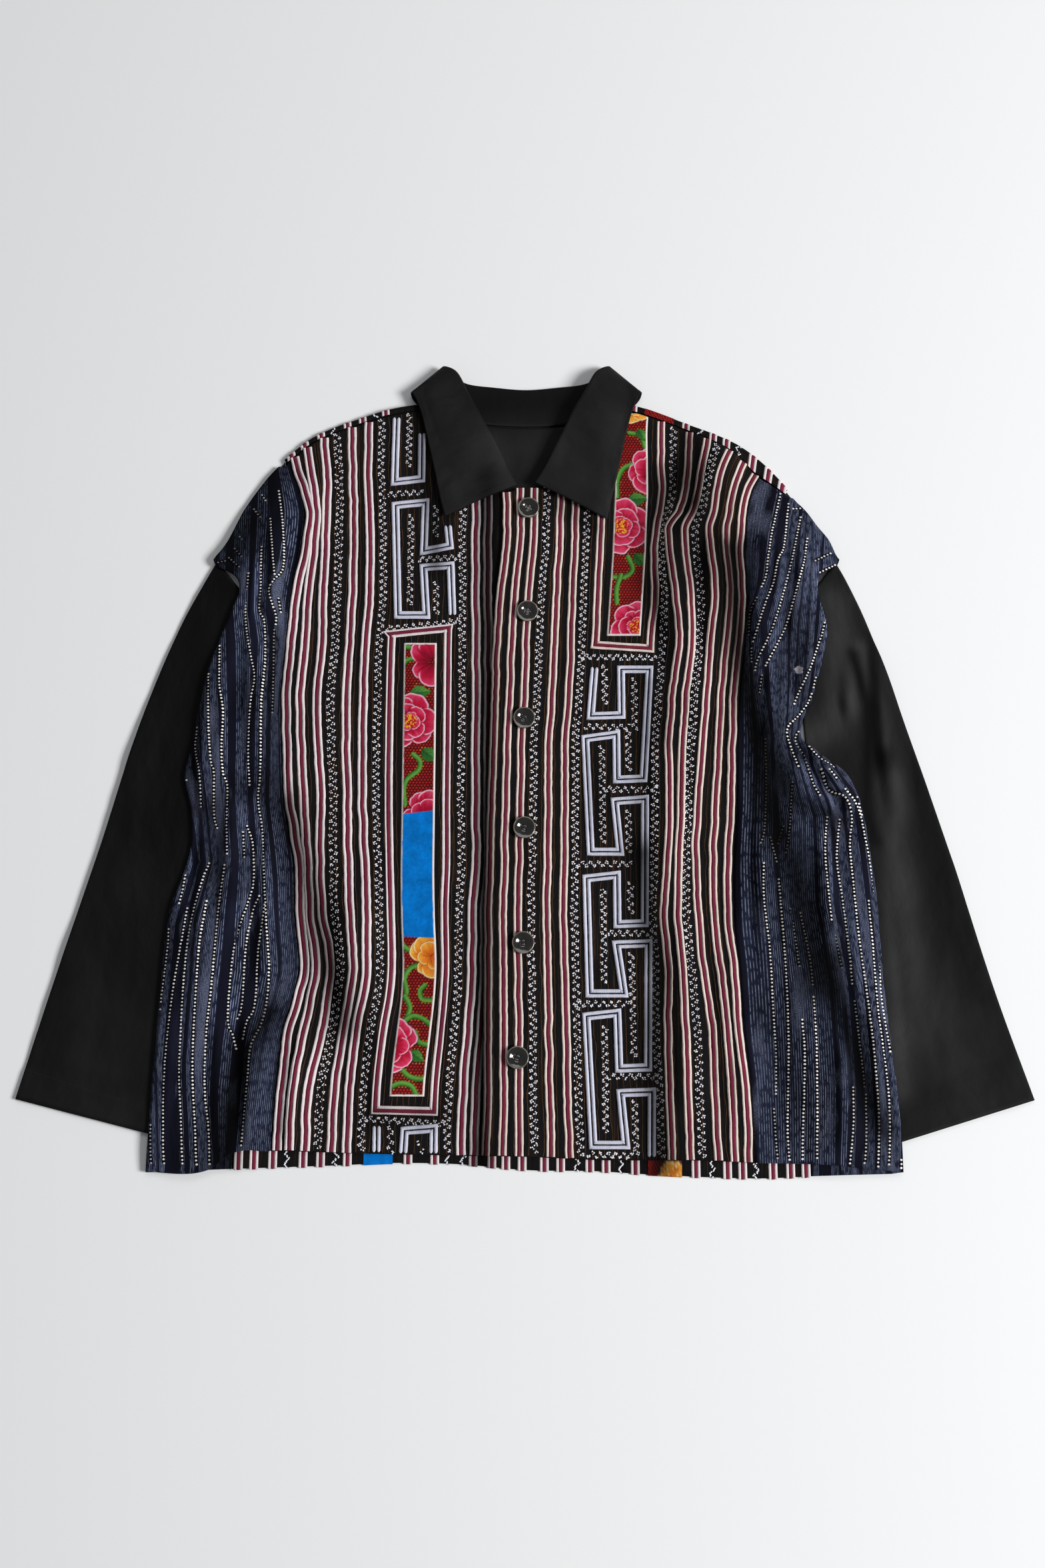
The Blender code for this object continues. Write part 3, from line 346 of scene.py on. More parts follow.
RIGHT_NAMES = ("y", "seam", "band_3", "band_5", "print", "band_7")
LEFT_NAMES = ("y", "edge", "band_5", "print", "frame", "band_7", "band_9", "seam")


# Guide lines in their order across each front, with the right one's hidden edge.
ACROSS = {"left": LEFT_NAMES[1:], "right": RIGHT_NAMES[1:] + ("edge",)}
SIGN = {"left": 1, "right": -1}  # the way of +X for each side
NECK_HALF = 90  # the neck's opening lies between these X, and the shoulders outside them


def guide(side, name, y):
    """The X of one of a front's guide lines, for a Y."""
    if side == "left":
        return curve(LEFT_GUIDES, LEFT_NAMES.index(name), y)
    if name == "edge":
        return curve(LEFT_GUIDES, LEFT_NAMES.index("edge"), y) + LAP
    return curve(RIGHT_GUIDES, RIGHT_NAMES.index(name), y)


def shoulder_line(x):
    """The Y of the folded shoulder edge, for an X on either side of the neck."""
    return np.where(x < 0, curve(SHOULDERS, 1, x), curve(LEFT_SHOULDER, 1, x))


def front_top(x, side):
    """The Y of a front's upper edge, at the neck or under the back's fold."""
    neck = curve(NECKLINE, 1, x)
    if side == "left":
        # This front's corner stays clear of the other side's collar leaf.
        neck = np.where(x < -6, 251 - 0.32 * (-6 - x), neck)
    over = curve(BACK_OVER_SHOULDER, 1, x) + 3 * SEAM_GAP
    return np.where(np.abs(x) < NECK_HALF, neck, shoulder_line(x) - over)


def back_top(x):
    return np.where(np.abs(x) < NECK_HALF, curve(NECKLINE, 2, x), shoulder_line(x))


def outside_of(corners, x, y):
    """How far (x, y) is outside a convex outline whose corners run clockwise."""
    far = np.full(np.broadcast(x, y).shape, -1e9)
    for (x0, y0), (x1, y1) in zip(corners, corners[1:] + corners[:1]):
        length = math.hypot(x1 - x0, y1 - y0)
        far = np.maximum(far, ((x1 - x0) * (y - y0) - (y1 - y0) * (x - x0)) / length)
    return far


def sleeve_corners(outer, inner):
    corners = [outer[0][1:], outer[-1][1:], inner[-1][1:], inner[0][1:]]
    return corners if outer[0][1] > 0 else corners[::-1]


def lift(x, y):
    """Height of the body's underside over the sleeves and the fall of the collar."""
    height = 0.0
    for outer, inner in (
        (RIGHT_SLEEVE_OUTER, RIGHT_SLEEVE_INNER),
        (LEFT_SLEEVE_OUTER, LEFT_SLEEVE_INNER),
    ):
        away = outside_of(sleeve_corners(outer, inner), x, y)
        height = height + SLEEVE_LIFT * smooth_step(1.0 - (away - 3.0) / SLEEVE_RAMP)
    fall = smooth_step((y - 236) / 60) * smooth_step((168 - np.abs(x)) / 52)
    return np.maximum(height, FALL_LIFT * fall)


def ridges(rows, x, y):
    """Height of folds, each a ridge along a straight spine that dies out at both ends."""
    height = np.zeros(np.broadcast(x, y).shape)
    for x0, y0, x1, y1, width_minus, width_plus, top in rows:
        run = math.hypot(x1 - x0, y1 - y0)
        ux, uy = (x1 - x0) / run, (y1 - y0) / run
        along = ((x - x0) * ux + (y - y0) * uy) / run
        across = (y - y0) * ux - (x - x0) * uy
        width = np.where(across < 0, width_minus, width_plus)
        shape = 0.5 + 0.5 * np.cos(math.pi * np.clip(across / width, -1, 1))
        ends = smooth_step(along / 0.3) * smooth_step((1 - along) / 0.3)
        height = height + top * shape * ends
    return height


def side_edge(y, side):
    """The X of the body's outer edge, for a Y."""
    return curve(LEFT_SIDE if side == "left" else RIGHT_SIDE, 1, y)


def front_under(x, y, side):
    """Underside of a front: over the back, the facing, the other front and its own folds."""
    height = lift(x, y) + STRIPED + LAYER_GAP + ridges(BODY_FOLDS, x, y)
    facing = smooth_step((92 - np.abs(x)) / 34) * smooth_step((y - 196) / 36)
    height = height + FACING_LIFT * facing
    if side == "left":
        over = (guide("right", "edge", y) + LAP_RAMP - x) / LAP_RAMP
        height = height + LAP_LIFT * smooth_step(over)
    return height


def relief(x, y, bands):
    """Height of the raised bands over the plain cloth."""
    height = np.zeros(np.broadcast(x, y).shape)
    for centre, high, low in bands:
        away = np.abs(x - centre(y))
        rib = np.clip(1.0 - away / (BAND_WIDTH / 2), 0, 1)
        shown = smooth_step((high - y) / 6) * smooth_step((y - low) / 6)
        height = np.maximum(height, BAND_HEIGHT * rib * shown)
    return height


def band_lines(side):
    """For each raised band of a front, its middle line and the Y it runs between."""
    rows = LEFT_BANDS if side == "left" else RIGHT_BANDS

    def line(first, second, share, shift):
        return lambda y: (
            guide(side, first, y) * (1 - share) + guide(side, second, y) * share + shift
        )

    return [
        (line(first, second, share, shift), high, low)
        for first, second, share, shift, high, low in rows
    ]


def stack(x, y, z):
    return np.stack(np.broadcast_arrays(x, y, z), axis=-1).astype(float)


def meeting(line, edge):
    """The Y at which a line down the cloth, X of Y, meets an upper edge, Y of X."""
    levels = np.linspace(345, 150, 781)
    inside = levels <= edge(line(levels))
    return float(levels[np.argmax(inside)])


def side_grid(seam, outer, top_line, low_line, columns, share):
    """Plan of a side panel, whose rows slant at the shoulder and level out below it."""
    share = share[:, None]
    u = np.linspace(0, 1, columns)[None, :]
    top = meeting(seam, top_line)
    low = float(curve(low_line, 1, float(seam(np.array(-360.0)))))
    y_seam = top + (low - top) * share
    slant = (top - SHOULDER_TIP_Y) * (1 - smooth_step(share / 0.34))
    y_outer = y_seam - slant + (BACK_HEM[0][1] - low) * share
    x_seam, x_outer = seam(y_seam), outer(y_outer)
    x = x_seam + (x_outer - x_seam) * u
    y = y_seam + (y_outer - y_seam) * u
    # The first row follows the rounded shoulder, and this dies out downwards.
    bow = (top_line(x[:1]) - y[:1]) * smooth_step(u * 8) * smooth_step((1 - u) * 8)
    hem = (curve(low_line, 1, x[-1:]) - y[-1:]) * smooth_step(u * 8) * smooth_step((1 - u) * 8)
    y = y + bow * (1 - smooth_step(share / 0.3)) + hem * smooth_step((share - 0.8) / 0.2)
    return x, y, u


def back_seam(side, y):
    """The X of the back's side seam, for a Y."""
    (y0, *high), (y1, *low) = BACK_SEAMS
    x0, x1 = (high[1], low[1]) if side == "left" else (high[0], low[0])
    return x0 + (x1 - x0) * (y0 - y) / (y0 - y1)


def max_over(line, y, reach):
    """The most that a line reaches near a Y."""
    return np.max([line(y + reach * step) for step in (-1, -0.5, 0, 0.5, 1)], axis=0)


def top_of_front(side, x, y):
    """Height of a front's upper face in the model, with its raised bands."""
    under = front_under(x, y, side)
    return under + STRIPED + relief(x, y, band_lines(side))


# ---- looks: mesh helpers ----


def hashed(i, j, seed):
    """A number from 0 to 1 for each whole-numbered place, the same on every run."""
    mixed = (i.astype(np.int64) * 374761393 + j.astype(np.int64) * 668265263 + seed * 69069) & 0xFFFFFFFF
    mixed = ((mixed ^ (mixed >> 13)) * 1274126177) & 0xFFFFFFFF
    return ((mixed ^ (mixed >> 16)) & 0xFFFF) / 65535.0


def noise(x, y, seed=0):
    """Smooth noise from -1 to 1 with a period of about one unit."""
    x, y = np.broadcast_arrays(np.asarray(x, float), np.asarray(y, float))
    i, j = np.floor(x), np.floor(y)
    u, v = smooth_step(x - i), smooth_step(y - j)
    low = hashed(i, j, seed) * (1 - u) + hashed(i + 1, j, seed) * u
    high = hashed(i, j + 1, seed) * (1 - u) + hashed(i + 1, j + 1, seed) * u
    return 2 * (low * (1 - v) + high * v) - 1


# Painted shade: darker colour in the valleys between the largest folds, where the cloth gets little light,
# and in the shadows beside the placket, the collar's edge and the body over the sleeves.
# Strength, half width and the points that each one runs through.
VALLEY_PAINTED_SHADE = (
    (0.80, 18, (-216, -50), (-198, -105), (-184, -155), (-168, -208), (-160, -245)),
    (0.86, 14, (-224, -236), (-241, -268), (-255, -315), (-262, -370)),
    (0.45, 12, (-234, -30), (-262, -44), (-290, -56)),
    (0.45, 11, (-279, -60), (-278, -112)),
    (0.70, 14, (-256, 218), (-269, 178), (-272, 156)),
    (0.94, 11, (-36, 260), (-36, 60), (-37, -60), (-39, -375)),
    (0.55, 26, (152, 262), (156, 215), (152, 170)),
    (0.70, 13, (152, 300), (150, 262), (156, 232)),
    (0.62, 14, (136, 256), (114, 212), (110, 165), (124, 122)),
    (0.94, 17, (190, 192), (191, 150), (194, 95), (205, 30), (214, -30), (224, -80)),
    (0.66, 10, (210, 18), (226, -24), (244, -50), (276, -64)),
    (0.50, 14, (108, 60), (104, -40), (100, -90)),
    (0.88, 16, (103, -96), (108, -160), (116, -205), (110, -255), (115, -366)),
    (0.86, 24, (236, -104), (246, -160), (254, -212)),
    (0.86, 12, (262, -190), (275, -245), (290, -296), (304, -336)),
    (0.45, 12, (246, 128), (248, 60)),
    (0.40, 12, (205, -230), (222, -285), (236, -310)),
    (0.50, 22, (-236, 268), (-262, 214), (-284, 160)),
    (0.70, 10, (-100, 335), (-96, 272), (-86, 218), (-84, 176)),
    (0.45, 12, (-296, 120), (-300, 20), (-306, -60)),
    (0.28, 12, (-314, -60), (-326, -150), (-336, -365)),
    (0.45, 12, (20, 240), (42, 228), (62, 214)),
    (0.30, 13, (-225, 100), (-222, 40), (-222, -20)),
    (0.30, 12, (60, -10), (66, -70)),
    (0.45, 11, (122, 268), (128, 178), (130, 100), (122, 10)),
    (0.40, 15, (230, -22), (211, -60)),
    (0.35, 12, (-130, -326), (-72, -326)),
)
# The same painted shade for the black twill alone, which also has painted highlights (below zero) on its lit
# ridges and on the facing.
TWILL_PAINTED_SHADE_AND_HIGHLIGHT = (
    (-2.7, 16, (284, 140), (287, 100), (288, 73), (287, 44), (276, 22), (258, 14)),
    (-2.6, 8, (308, 96), (313, 73), (319, 44), (322, 8)),
    (-3.3, 13, (326, -30), (327, -55), (329, -97), (330, -152), (327, -220), (323, -300)),
    (0.90, 6, (298, 92), (304, 66), (309, 44), (309, 15), (307, -13), (305, -55), (311, -84)),
    (0.60, 12, (336, 44), (338, 15), (346, -13), (356, -55), (368, -97), (382, -152), (396, -222)),
    (-0.8, 30, (352, -200), (368, -260), (390, -320)),
    (0.75, 48, (-290, 140), (-312, 40), (-330, -60)),
    (0.40, 50, (-335, -80), (-365, -240)),
    (-0.5, 40, (-340, -240), (-370, -330)),
    (0.60, 20, (-40, 338), (46, 338)),
    (-0.9, 42, (0, 286), (0, 236)),
    (-0.5, 7, (-72, 262), (-58, 226), (-48, 206)),
    (0.35, 9, (60, 300), (66, 250), (52, 216)),
    (-0.5, 9, (92, 318), (86, 262), (72, 224)),
    (-0.8, 8, (-30, 300), (-24, 276)),
    (-0.5, 7, (34, 296), (30, 276)),
)

# And for the indigo cloth: painted highlights (below zero) where its folds catch the light, and a little
# painted shade.
INDIGO_PAINTED_HIGHLIGHT_AND_SHADE = (
    (-0.9, 15, (-252, 170), (-251, 80)),
    (-0.8, 10, (-212, 250), (-212, 200)),
    (-1.2, 9, (-300, -70), (-300, -140)),
    (-1.2, 13, (-258, -150), (-256, -240)),
    (-0.6, 14, (-240, -60), (-236, -140)),
    (-1.0, 12, (-306, -245), (-310, -370)),
    (-0.7, 12, (-258, 20), (-256, -10)),
    (-1.0, 8, (-262, -46), (-264, -56)),
    (0.3, 14, (-240, 60), (-240, -20)),
    (-0.7, 14, (250, 250), (270, 170)),
    (-2.0, 16, (283, 150), (290, 80)),
    (-1.8, 9, (262, 25), (284, 2)),
    (-1.6, 9, (254, -20), (272, -42)),
    (-1.2, 9, (262, -88), (284, -160), (292, -230)),
    (-0.8, 9, (220, 140), (222, 40)),
    (-1.2, 8, (318, 60), (326, -60), (330, -350)),
    (0.3, 14, (250, -250), (252, -340)),
)
# Painted shade and painted highlights that each cloth adds to those of the valleys.
CLOTH_PAINTED_LIGHT = {"black_twill_cloth": TWILL_PAINTED_SHADE_AND_HIGHLIGHT, "indigo_cotton_cloth": INDIGO_PAINTED_HIGHLIGHT_AND_SHADE}


def shade_of(x, y, rows):
    """Share of its full colour that the cloth has at a plan place: below one for painted shade, above one
    for painted highlights.
    """
    share = np.ones(x.shape)
    for strength, width, *points in rows:
        away = np.full(x.shape, 1e3)
        for (x0, y0), (x1, y1) in zip(points, points[1:]):
            run = (x1 - x0) ** 2 + (y1 - y0) ** 2
            t = np.clip(((x - x0) * (x1 - x0) + (y - y0) * (y1 - y0)) / run, 0, 1)
            away = np.minimum(away, np.hypot(x - x0 - t * (x1 - x0), y - y0 - t * (y1 - y0)))
        share = share * (1 - strength * np.exp(-((away / width) ** 2)))
    return share


def distances(path):
    """How far along a path each of its points is."""
    return np.concatenate([[0], np.cumsum(np.linalg.norm(np.diff(path, axis=0), axis=1))])


def unit(vectors, least=1e-9):
    """Vectors, each brought to a length of one."""
    return vectors / np.maximum(np.linalg.norm(vectors, axis=-1, keepdims=True), least)


def facing_up(points, faces, first=None):
    """Faces, turned over if the first of them look down."""
    corner = points.reshape(-1, 3)[faces[:first]]
    up = np.cross(corner[:, 1] - corner[:, 0], corner[:, 2] - corner[:, 0])[:, 2].sum()
    return faces if up > 0 else faces[:, ::-1]


def make(name, points, faces, finish, uv=None, colours=None):
    """A mesh from points in millimetres and lists of faces, riding on the jacket."""
    points = np.asarray(points, float).reshape(-1, 3)
    mesh = bpy.data.meshes.new(name)
    mesh.vertices.add(len(points))
    mesh.vertices.foreach_set("co", (points * MM).astype(np.float32).ravel())
    corners = np.concatenate([f.ravel() for f in faces]).astype(np.int32)
    sizes = np.concatenate([np.full(len(f), f.shape[1]) for f in faces])
    mesh.loops.add(len(corners))
    mesh.loops.foreach_set("vertex_index", corners)
    mesh.polygons.add(len(sizes))
    starts = np.concatenate([[0], np.cumsum(sizes)[:-1]]).astype(np.int32)
    mesh.polygons.foreach_set("loop_start", starts)
    mesh.polygons.foreach_set("use_smooth", np.ones(len(sizes), bool))
    mesh.update(calc_edges=True)
    if uv is not None:
        layer = mesh.uv_layers.new(name="cloth")
        values = np.asarray(uv, float).reshape(-1, 2)[corners] * MM
        layer.data.foreach_set("uv", values.astype(np.float32).ravel())
    if colours is not None:
        layer = mesh.color_attributes.new("print", "FLOAT_COLOR", "POINT")
        values = np.ones((len(points), 4), np.float32)
        values[:, :3] = np.asarray(colours).reshape(-1, 3)
        layer.data.foreach_set("color", values.ravel())
    # The points keep the painted shade and painted highlights of the tables, as the shade colour.
    layer = mesh.color_attributes.new("shade", "FLOAT_COLOR", "POINT")
    shades = shade_of(points[:, 0], points[:, 1], VALLEY_PAINTED_SHADE)
    shades = shades * shade_of(points[:, 0], points[:, 1], CLOTH_PAINTED_LIGHT.get(finish.name, ()))
    values = np.repeat(shades[:, None], 4, axis=1)
    layer.data.foreach_set("color", values.astype(np.float32).ravel())
    mesh.materials.append(finish)
    made = bpy.data.objects.new(name, mesh)
    bpy.context.scene.collection.objects.link(made)
    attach(made, "root")
    return made


def grid_faces(rows, columns, start=0, wrap=False):
    """Quads of a grid of points, whose last column may meet its first."""
    i, j = np.meshgrid(np.arange(rows - 1), np.arange(columns - (not wrap)), indexing="ij")
    a, b = start + i * columns + j, start + i * columns + (j + 1) % columns
    return np.stack([a, a + columns, b + columns, b], axis=-1).reshape(-1, 4)


def shell(name, under, over, uv, finish, closed=False):
    """A closed wall between two grids of points. A closed grid's last column meets its first."""
    rows, columns = over.shape[:2]
    count = rows * columns
    top = grid_faces(rows, columns, wrap=closed)
    low = grid_faces(rows, columns, count, wrap=closed)[:, ::-1]
    across = np.arange(columns + closed) % columns
    rims = [across, (rows - 1) * columns + across[::-1]]
    if not closed:
        rims += [np.arange(rows)[::-1] * columns, np.arange(rows) * columns + columns - 1]
    faces = [top, low]
    for line in rims:
        a, b = line[:-1], line[1:]
        faces.append(np.stack([a, b, b + count, a + count], axis=1))
    points = np.concatenate([over.reshape(-1, 3), under.reshape(-1, 3)])
    corner = points[top]
    outward = np.cross(corner[:, 1] - corner[:, 0], corner[:, 2] - corner[:, 0])
    if np.sum(outward * (points[top[:, 0]] - points[top[:, 0] + count])) < 0:
        faces = [face[:, ::-1] for face in faces]
    return make(name, points, faces, finish, uv=np.concatenate([uv.reshape(-1, 2)] * 2))


class Heap:
    """Many small meshes gathered into one."""

    def __init__(self):
        self.points, self.faces, self.colours, self.count = [], [], [], 0

    def add(self, points, faces, colour=None):
        points = np.asarray(points, float).reshape(-1, 3)
        for face in faces:
            self.faces.append(face + self.count)
        self.points.append(points)
        if colour is not None:
            self.colours.append(np.broadcast_to(colour, (len(points), 3)))
        self.count += len(points)

    def make(self, name, finish, slot=None):
        by_size = {}
        for face in self.faces:
            by_size.setdefault(face.shape[1], []).append(face)
        faces = [np.concatenate(group) for group in by_size.values()]
        points = np.concatenate(self.points)
        colours = np.concatenate(self.colours) if self.colours else None
        return make(name, points, faces, finish, uv=points[:, :2], colours=colours)


def sideways(path, closed=False):
    """Mitred side vectors along a plan path, to the path's left."""
    step = unit(np.diff(path, axis=0))
    before = np.concatenate([step[-1:] if closed else step[:1], step])
    after = np.concatenate([step, step[:1] if closed else step[-1:]])
    mean = unit(before + after)
    reach = 1.0 / np.maximum(np.sum(mean * after, axis=1), 0.35)
    return np.stack([-mean[:, 1], mean[:, 0]], axis=1) * reach[:, None]


# Cross-sections, from edge to edge: share of the width, share of the height.
PADDED = ((-0.5, -0.15), (-0.40, 0.75), (0.0, 1.0), (0.40, 0.75), (0.5, -0.15))
CORDED = ((-0.5, -0.15), (0.0, 1.0), (0.5, -0.15))


def tape(
    heap, path, offset, width, height, surface, rough, seed, round_ends=False, closed=False, profile=PADDED
):
    """A padded tape along a plan path, beside it by an offset, following a surface."""
    path = np.asarray(path, float)
    normal = sideways(path, closed)
    along = distances(path)
    wide = width * (1 + rough * noise(along / 3.5, seed * 7.3 + offset, 3))
    shift = rough * 0.9 * noise(along / 9.0, seed * 3.1 + offset, 4)
    tall = height * (1 + 1.4 * rough * noise(along / 2.6, seed * 5.7 + offset, 5))
    if round_ends:
        near_end = np.minimum(along, along[-1] - along)
        close = np.sqrt(np.clip(near_end / (width * 0.5) + 0.12, 0, 1))
        wide, tall = wide * close, tall * close
    columns = []
    for across, up in profile:
        plan = path + normal * (offset + shift + across * wide)[:, None]
        z = surface(plan[:, 0], plan[:, 1]) + up * tall
        columns.append(np.column_stack([plan, z]))
    points = np.stack(columns, axis=1)
    heap.add(points, [facing_up(points, grid_faces(len(path), len(profile)))])


# One repeat of a stitched zigzag: beads by share of the half width and of the repeat.
BEADS = (
    (-0.92, -0.12), (-0.50, -0.20), (-0.74, 0.10), (-0.22, 0.04),
    (0.88, 0.38), (0.46, 0.30), (0.72, 0.60), (0.16, 0.54),
)
ZIGZAG_REPEAT = 6.6  # length of one repeat
BEAD_SIZE = 1.65
BEAD_HEIGHT = 0.5
BEAD_SHARE = 0.95  # share of the beads that are there


def stitches(heap, path, width, surface, seed):
    """Small raised three-sided stitches, in clusters from side to side along a plan path."""
    path = np.asarray(path, float)
    along = distances(path)
    beads = np.array(BEADS)
    repeats = np.arange(max(1, int(along[-1] / ZIGZAG_REPEAT)))
    where = ((repeats[:, None] + beads[:, 1] + 0.22) * along[-1] / len(repeats)).ravel()
    shift = np.tile(beads[:, 0] * (width / 2 - 0.4), len(repeats))
    index = np.arange(len(where))
    lane = np.zeros(len(where)) + seed
    shift = shift + 0.45 * (2 * hashed(index, lane, 11) - 1)
    where = where + 0.45 * (2 * hashed(index, lane, 12) - 1)
    normal = sideways(path)
    nx, ny = np.interp(where, along, normal[:, 0]), np.interp(where, along, normal[:, 1])
    x = np.interp(where, along, path[:, 0]) + nx * shift
    y = np.interp(where, along, path[:, 1]) + ny * shift
    kept = hashed(index, lane, 13) < BEAD_SHARE
    x, y, index, lane = x[kept], y[kept], index[kept], lane[kept]
    lean = 2 * math.pi * hashed(index, lane, 14)
    reach = BEAD_SIZE * (0.50 + 0.22 * hashed(index, lane, 16))
    ground = surface(x, y)
    columns = [np.column_stack([x, y, ground + BEAD_HEIGHT])]
    for k in range(3):
        turn = lean + 2 * math.pi * k / 3
        corner = (x + reach * np.cos(turn), y + reach * np.sin(turn), ground - 0.04)
        columns.append(np.column_stack(corner))
    points = np.stack(columns, axis=1)
    base = (np.arange(len(x)) * 4)[:, None]
    heap.add(points, [np.concatenate([base + [0, 1, 2], base + [0, 2, 3], base + [0, 3, 1]])])


TOPSTITCH_PITCH = 3.1
TOPSTITCH_SIZE = (2.2, 0.5, 0.22)  # length, width, height
# Corners of one stitch, by share of its size: four below, then four on top.
TOPSTITCH_CORNERS = (
    (-0.5, -0.5, -0.3), (-0.5, 0.5, -0.3), (0.5, 0.5, -0.3), (0.5, -0.5, -0.3),
    (-0.3, -0.3, 1.0), (-0.3, 0.3, 1.0), (0.3, 0.3, 1.0), (0.3, -0.3, 1.0),
)


def topstitch(heap, points, normals):
    """A row of lockstitches along points in space, each lying on a surface with the normal there."""
    along = distances(points)
    at = np.arange(TOPSTITCH_PITCH / 2, along[-1], TOPSTITCH_PITCH)

    def pick(grid, where):
        return np.column_stack([np.interp(where, along, grid[:, k]) for k in range(3)])

    centre, up = pick(points, at), pick(normals, at)
    run = unit(pick(points, at + 0.3) - pick(points, at - 0.3))
    side = unit(np.cross(up, run))
    long, wide, high = TOPSTITCH_SIZE
    found = [
        centre + run * (a * long) + side * (b * wide) + up * (c * high) for a, b, c in TOPSTITCH_CORNERS
    ]
    base = (np.arange(len(at)) * 8)[:, None]
    sides = [base + [k, k + 4, (k + 1) % 4 + 4, (k + 1) % 4] for k in range(4)]
    heap.add(np.stack(found, axis=1), [np.concatenate(sides + [base + [4, 7, 6, 5]])])


DOT_SIDES = 8
DOT_RINGS = ((0.72, 0.82), (1.0, -0.1))  # share of a dot's radius, share of its height
DOT_SQUASH = 0.80  # a dot is this much shorter along the cloth than across it


def dots(heap, x, y, radius, surface, colour, high=0.28):
    """Small domes, one at each place."""
    sides = DOT_SIDES
    rings = [np.column_stack([x, y, surface(x, y) + high])]
    for share, up in DOT_RINGS:
        for k in range(sides):
            turn = 2 * math.pi * k / sides
            px = x + radius * share * math.cos(turn)
            py = y + radius * share * DOT_SQUASH * math.sin(turn)
            rings.append(np.column_stack([px, py, surface(px, py) + high * up]))
    points = np.stack(rings, axis=1)
    size = points.shape[1]
    base = (np.arange(len(x)) * size)[:, None]
    tris, quads = [], []
    for k in range(sides):
        n = (k + 1) % sides
        tris.append(base + [0, 1 + k, 1 + n])
        quads.append(base + [1 + k, 1 + sides + k, 1 + sides + n, 1 + n])
    heap.add(points, [np.concatenate(tris), np.concatenate(quads)], np.repeat(colour, size, axis=0))


# ---- looks: materials ----


class Finish:
    """A node material that is built a step at a time."""

    def __init__(self, name, roughness, sheen=0.0, coat=0.0, gloss=0.06):
        self.made = bpy.data.materials.new(name)
        self.made.use_nodes = True
        self.tree = self.made.node_tree
        self.shader = self.tree.nodes["Principled BSDF"]
        self.shader.inputs["Roughness"].default_value = roughness
        self.shader.inputs["Sheen Weight"].default_value = sheen
        self.shader.inputs["Sheen Roughness"].default_value = 0.45
        self.shader.inputs["Coat Weight"].default_value = coat
        self.shader.inputs["Specular IOR Level"].default_value = gloss

    def node(self, kind, **settings):
        found = self.tree.nodes.new(kind)
        for key, value in settings.items():
            setattr(found, key, value)
        return found

    def link(self, source, target):
        self.tree.links.new(source, target)

    def cloth(self, across, along):
        """Cloth coordinates, stretched: how many repeats a metre across and along the warp."""
        uv = self.node("ShaderNodeUVMap", uv_map="cloth")
        scale = self.node("ShaderNodeVectorMath", operation="MULTIPLY")
        scale.inputs[1].default_value = (across, along, 1.0)
        self.link(uv.outputs["UV"], scale.inputs[0])
        return scale.outputs["Vector"]

    def noise(self, across, along, detail=2.0):
        found = self.node("ShaderNodeTexNoise")
        found.inputs["Scale"].default_value = 1.0
        found.inputs["Detail"].default_value = detail
        self.link(self.cloth(across, along), found.inputs["Vector"])
        return found.outputs["Fac"]

    def wave(self, across, along, direction="DIAGONAL", distortion=0.6):
        found = self.node("ShaderNodeTexWave", wave_type="BANDS", bands_direction=direction)
        found.inputs["Scale"].default_value = 1.0
        found.inputs["Distortion"].default_value = distortion
        self.link(self.cloth(across, along), found.inputs["Vector"])
        return found.outputs["Fac"]

    def ramp(self, fac, *stops):
        found = self.node("ShaderNodeValToRGB")
        elements = found.color_ramp.elements
        while len(elements) < len(stops):
            elements.new(0.5)
        for element, (place, colour) in zip(elements, stops):
            element.position = place
            element.color = (*colour, 1.0)
        self.link(fac, found.inputs["Fac"])
        return found.outputs["Color"]

    def grey(self, fac, low, high):
        return self.ramp(fac, (low, (0, 0, 0)), (high, (1, 1, 1)))

    def mix(self, fac, a, b, mode="MIX"):
        found = self.node("ShaderNodeMix", data_type="RGBA", blend_type=mode)
        for socket, value in zip((found.inputs[0], found.inputs[6], found.inputs[7]), (fac, a, b)):
            if isinstance(value, bpy.types.NodeSocket):
                self.link(value, socket)
            elif isinstance(value, tuple):
                socket.default_value = (*value, 1.0)
            else:
                socket.default_value = value
        return found.outputs[2]

    def colour(self, source):
        """Base colour, multiplied by the painted shade and painted highlights that the points keep."""
        shade = self.node("ShaderNodeVertexColor", layer_name="shade").outputs["Color"]
        self.link(self.mix(1.0, source, shade, "MULTIPLY"), self.shader.inputs["Base Color"])

    def bump(self, *heights):
        """Bumps from (height, distance in millimetres) pairs, laid over each other."""
        normal = None
        for height, distance in heights:
            found = self.node("ShaderNodeBump")
            found.inputs["Strength"].default_value = 0.9
            found.inputs["Distance"].default_value = distance * MM
            self.link(height, found.inputs["Height"])
            if normal:
                self.link(normal, found.inputs["Normal"])
            normal = found.outputs["Normal"]
        self.link(normal, self.shader.inputs["Normal"])


def striped_ground():
    """Black ground with fine brown warp threads."""
    finish = Finish("striped_cotton_cloth", 0.92, sheen=0.01)
    thread = finish.noise(1100, 16)
    group = finish.noise(260, 6)
    ground = finish.ramp(thread, (0.30, (0.0040, 0.0038, 0.0045)), (0.60, (0.0085, 0.0078, 0.0085)))
    brown = finish.ramp(thread, (0.54, (0.0065, 0.0055, 0.0050)), (0.64, (0.032, 0.017, 0.009)))
    finish.colour(finish.mix(finish.grey(group, 0.50, 0.60), ground, brown))
    warp, weave, crumple = finish.noise(1500, 60), finish.noise(1600, 1600, 0.0), finish.noise(70, 95, 3.0)
    finish.bump((warp, 0.35), (weave, 0.25), (crumple, 1.5))
    return finish.made


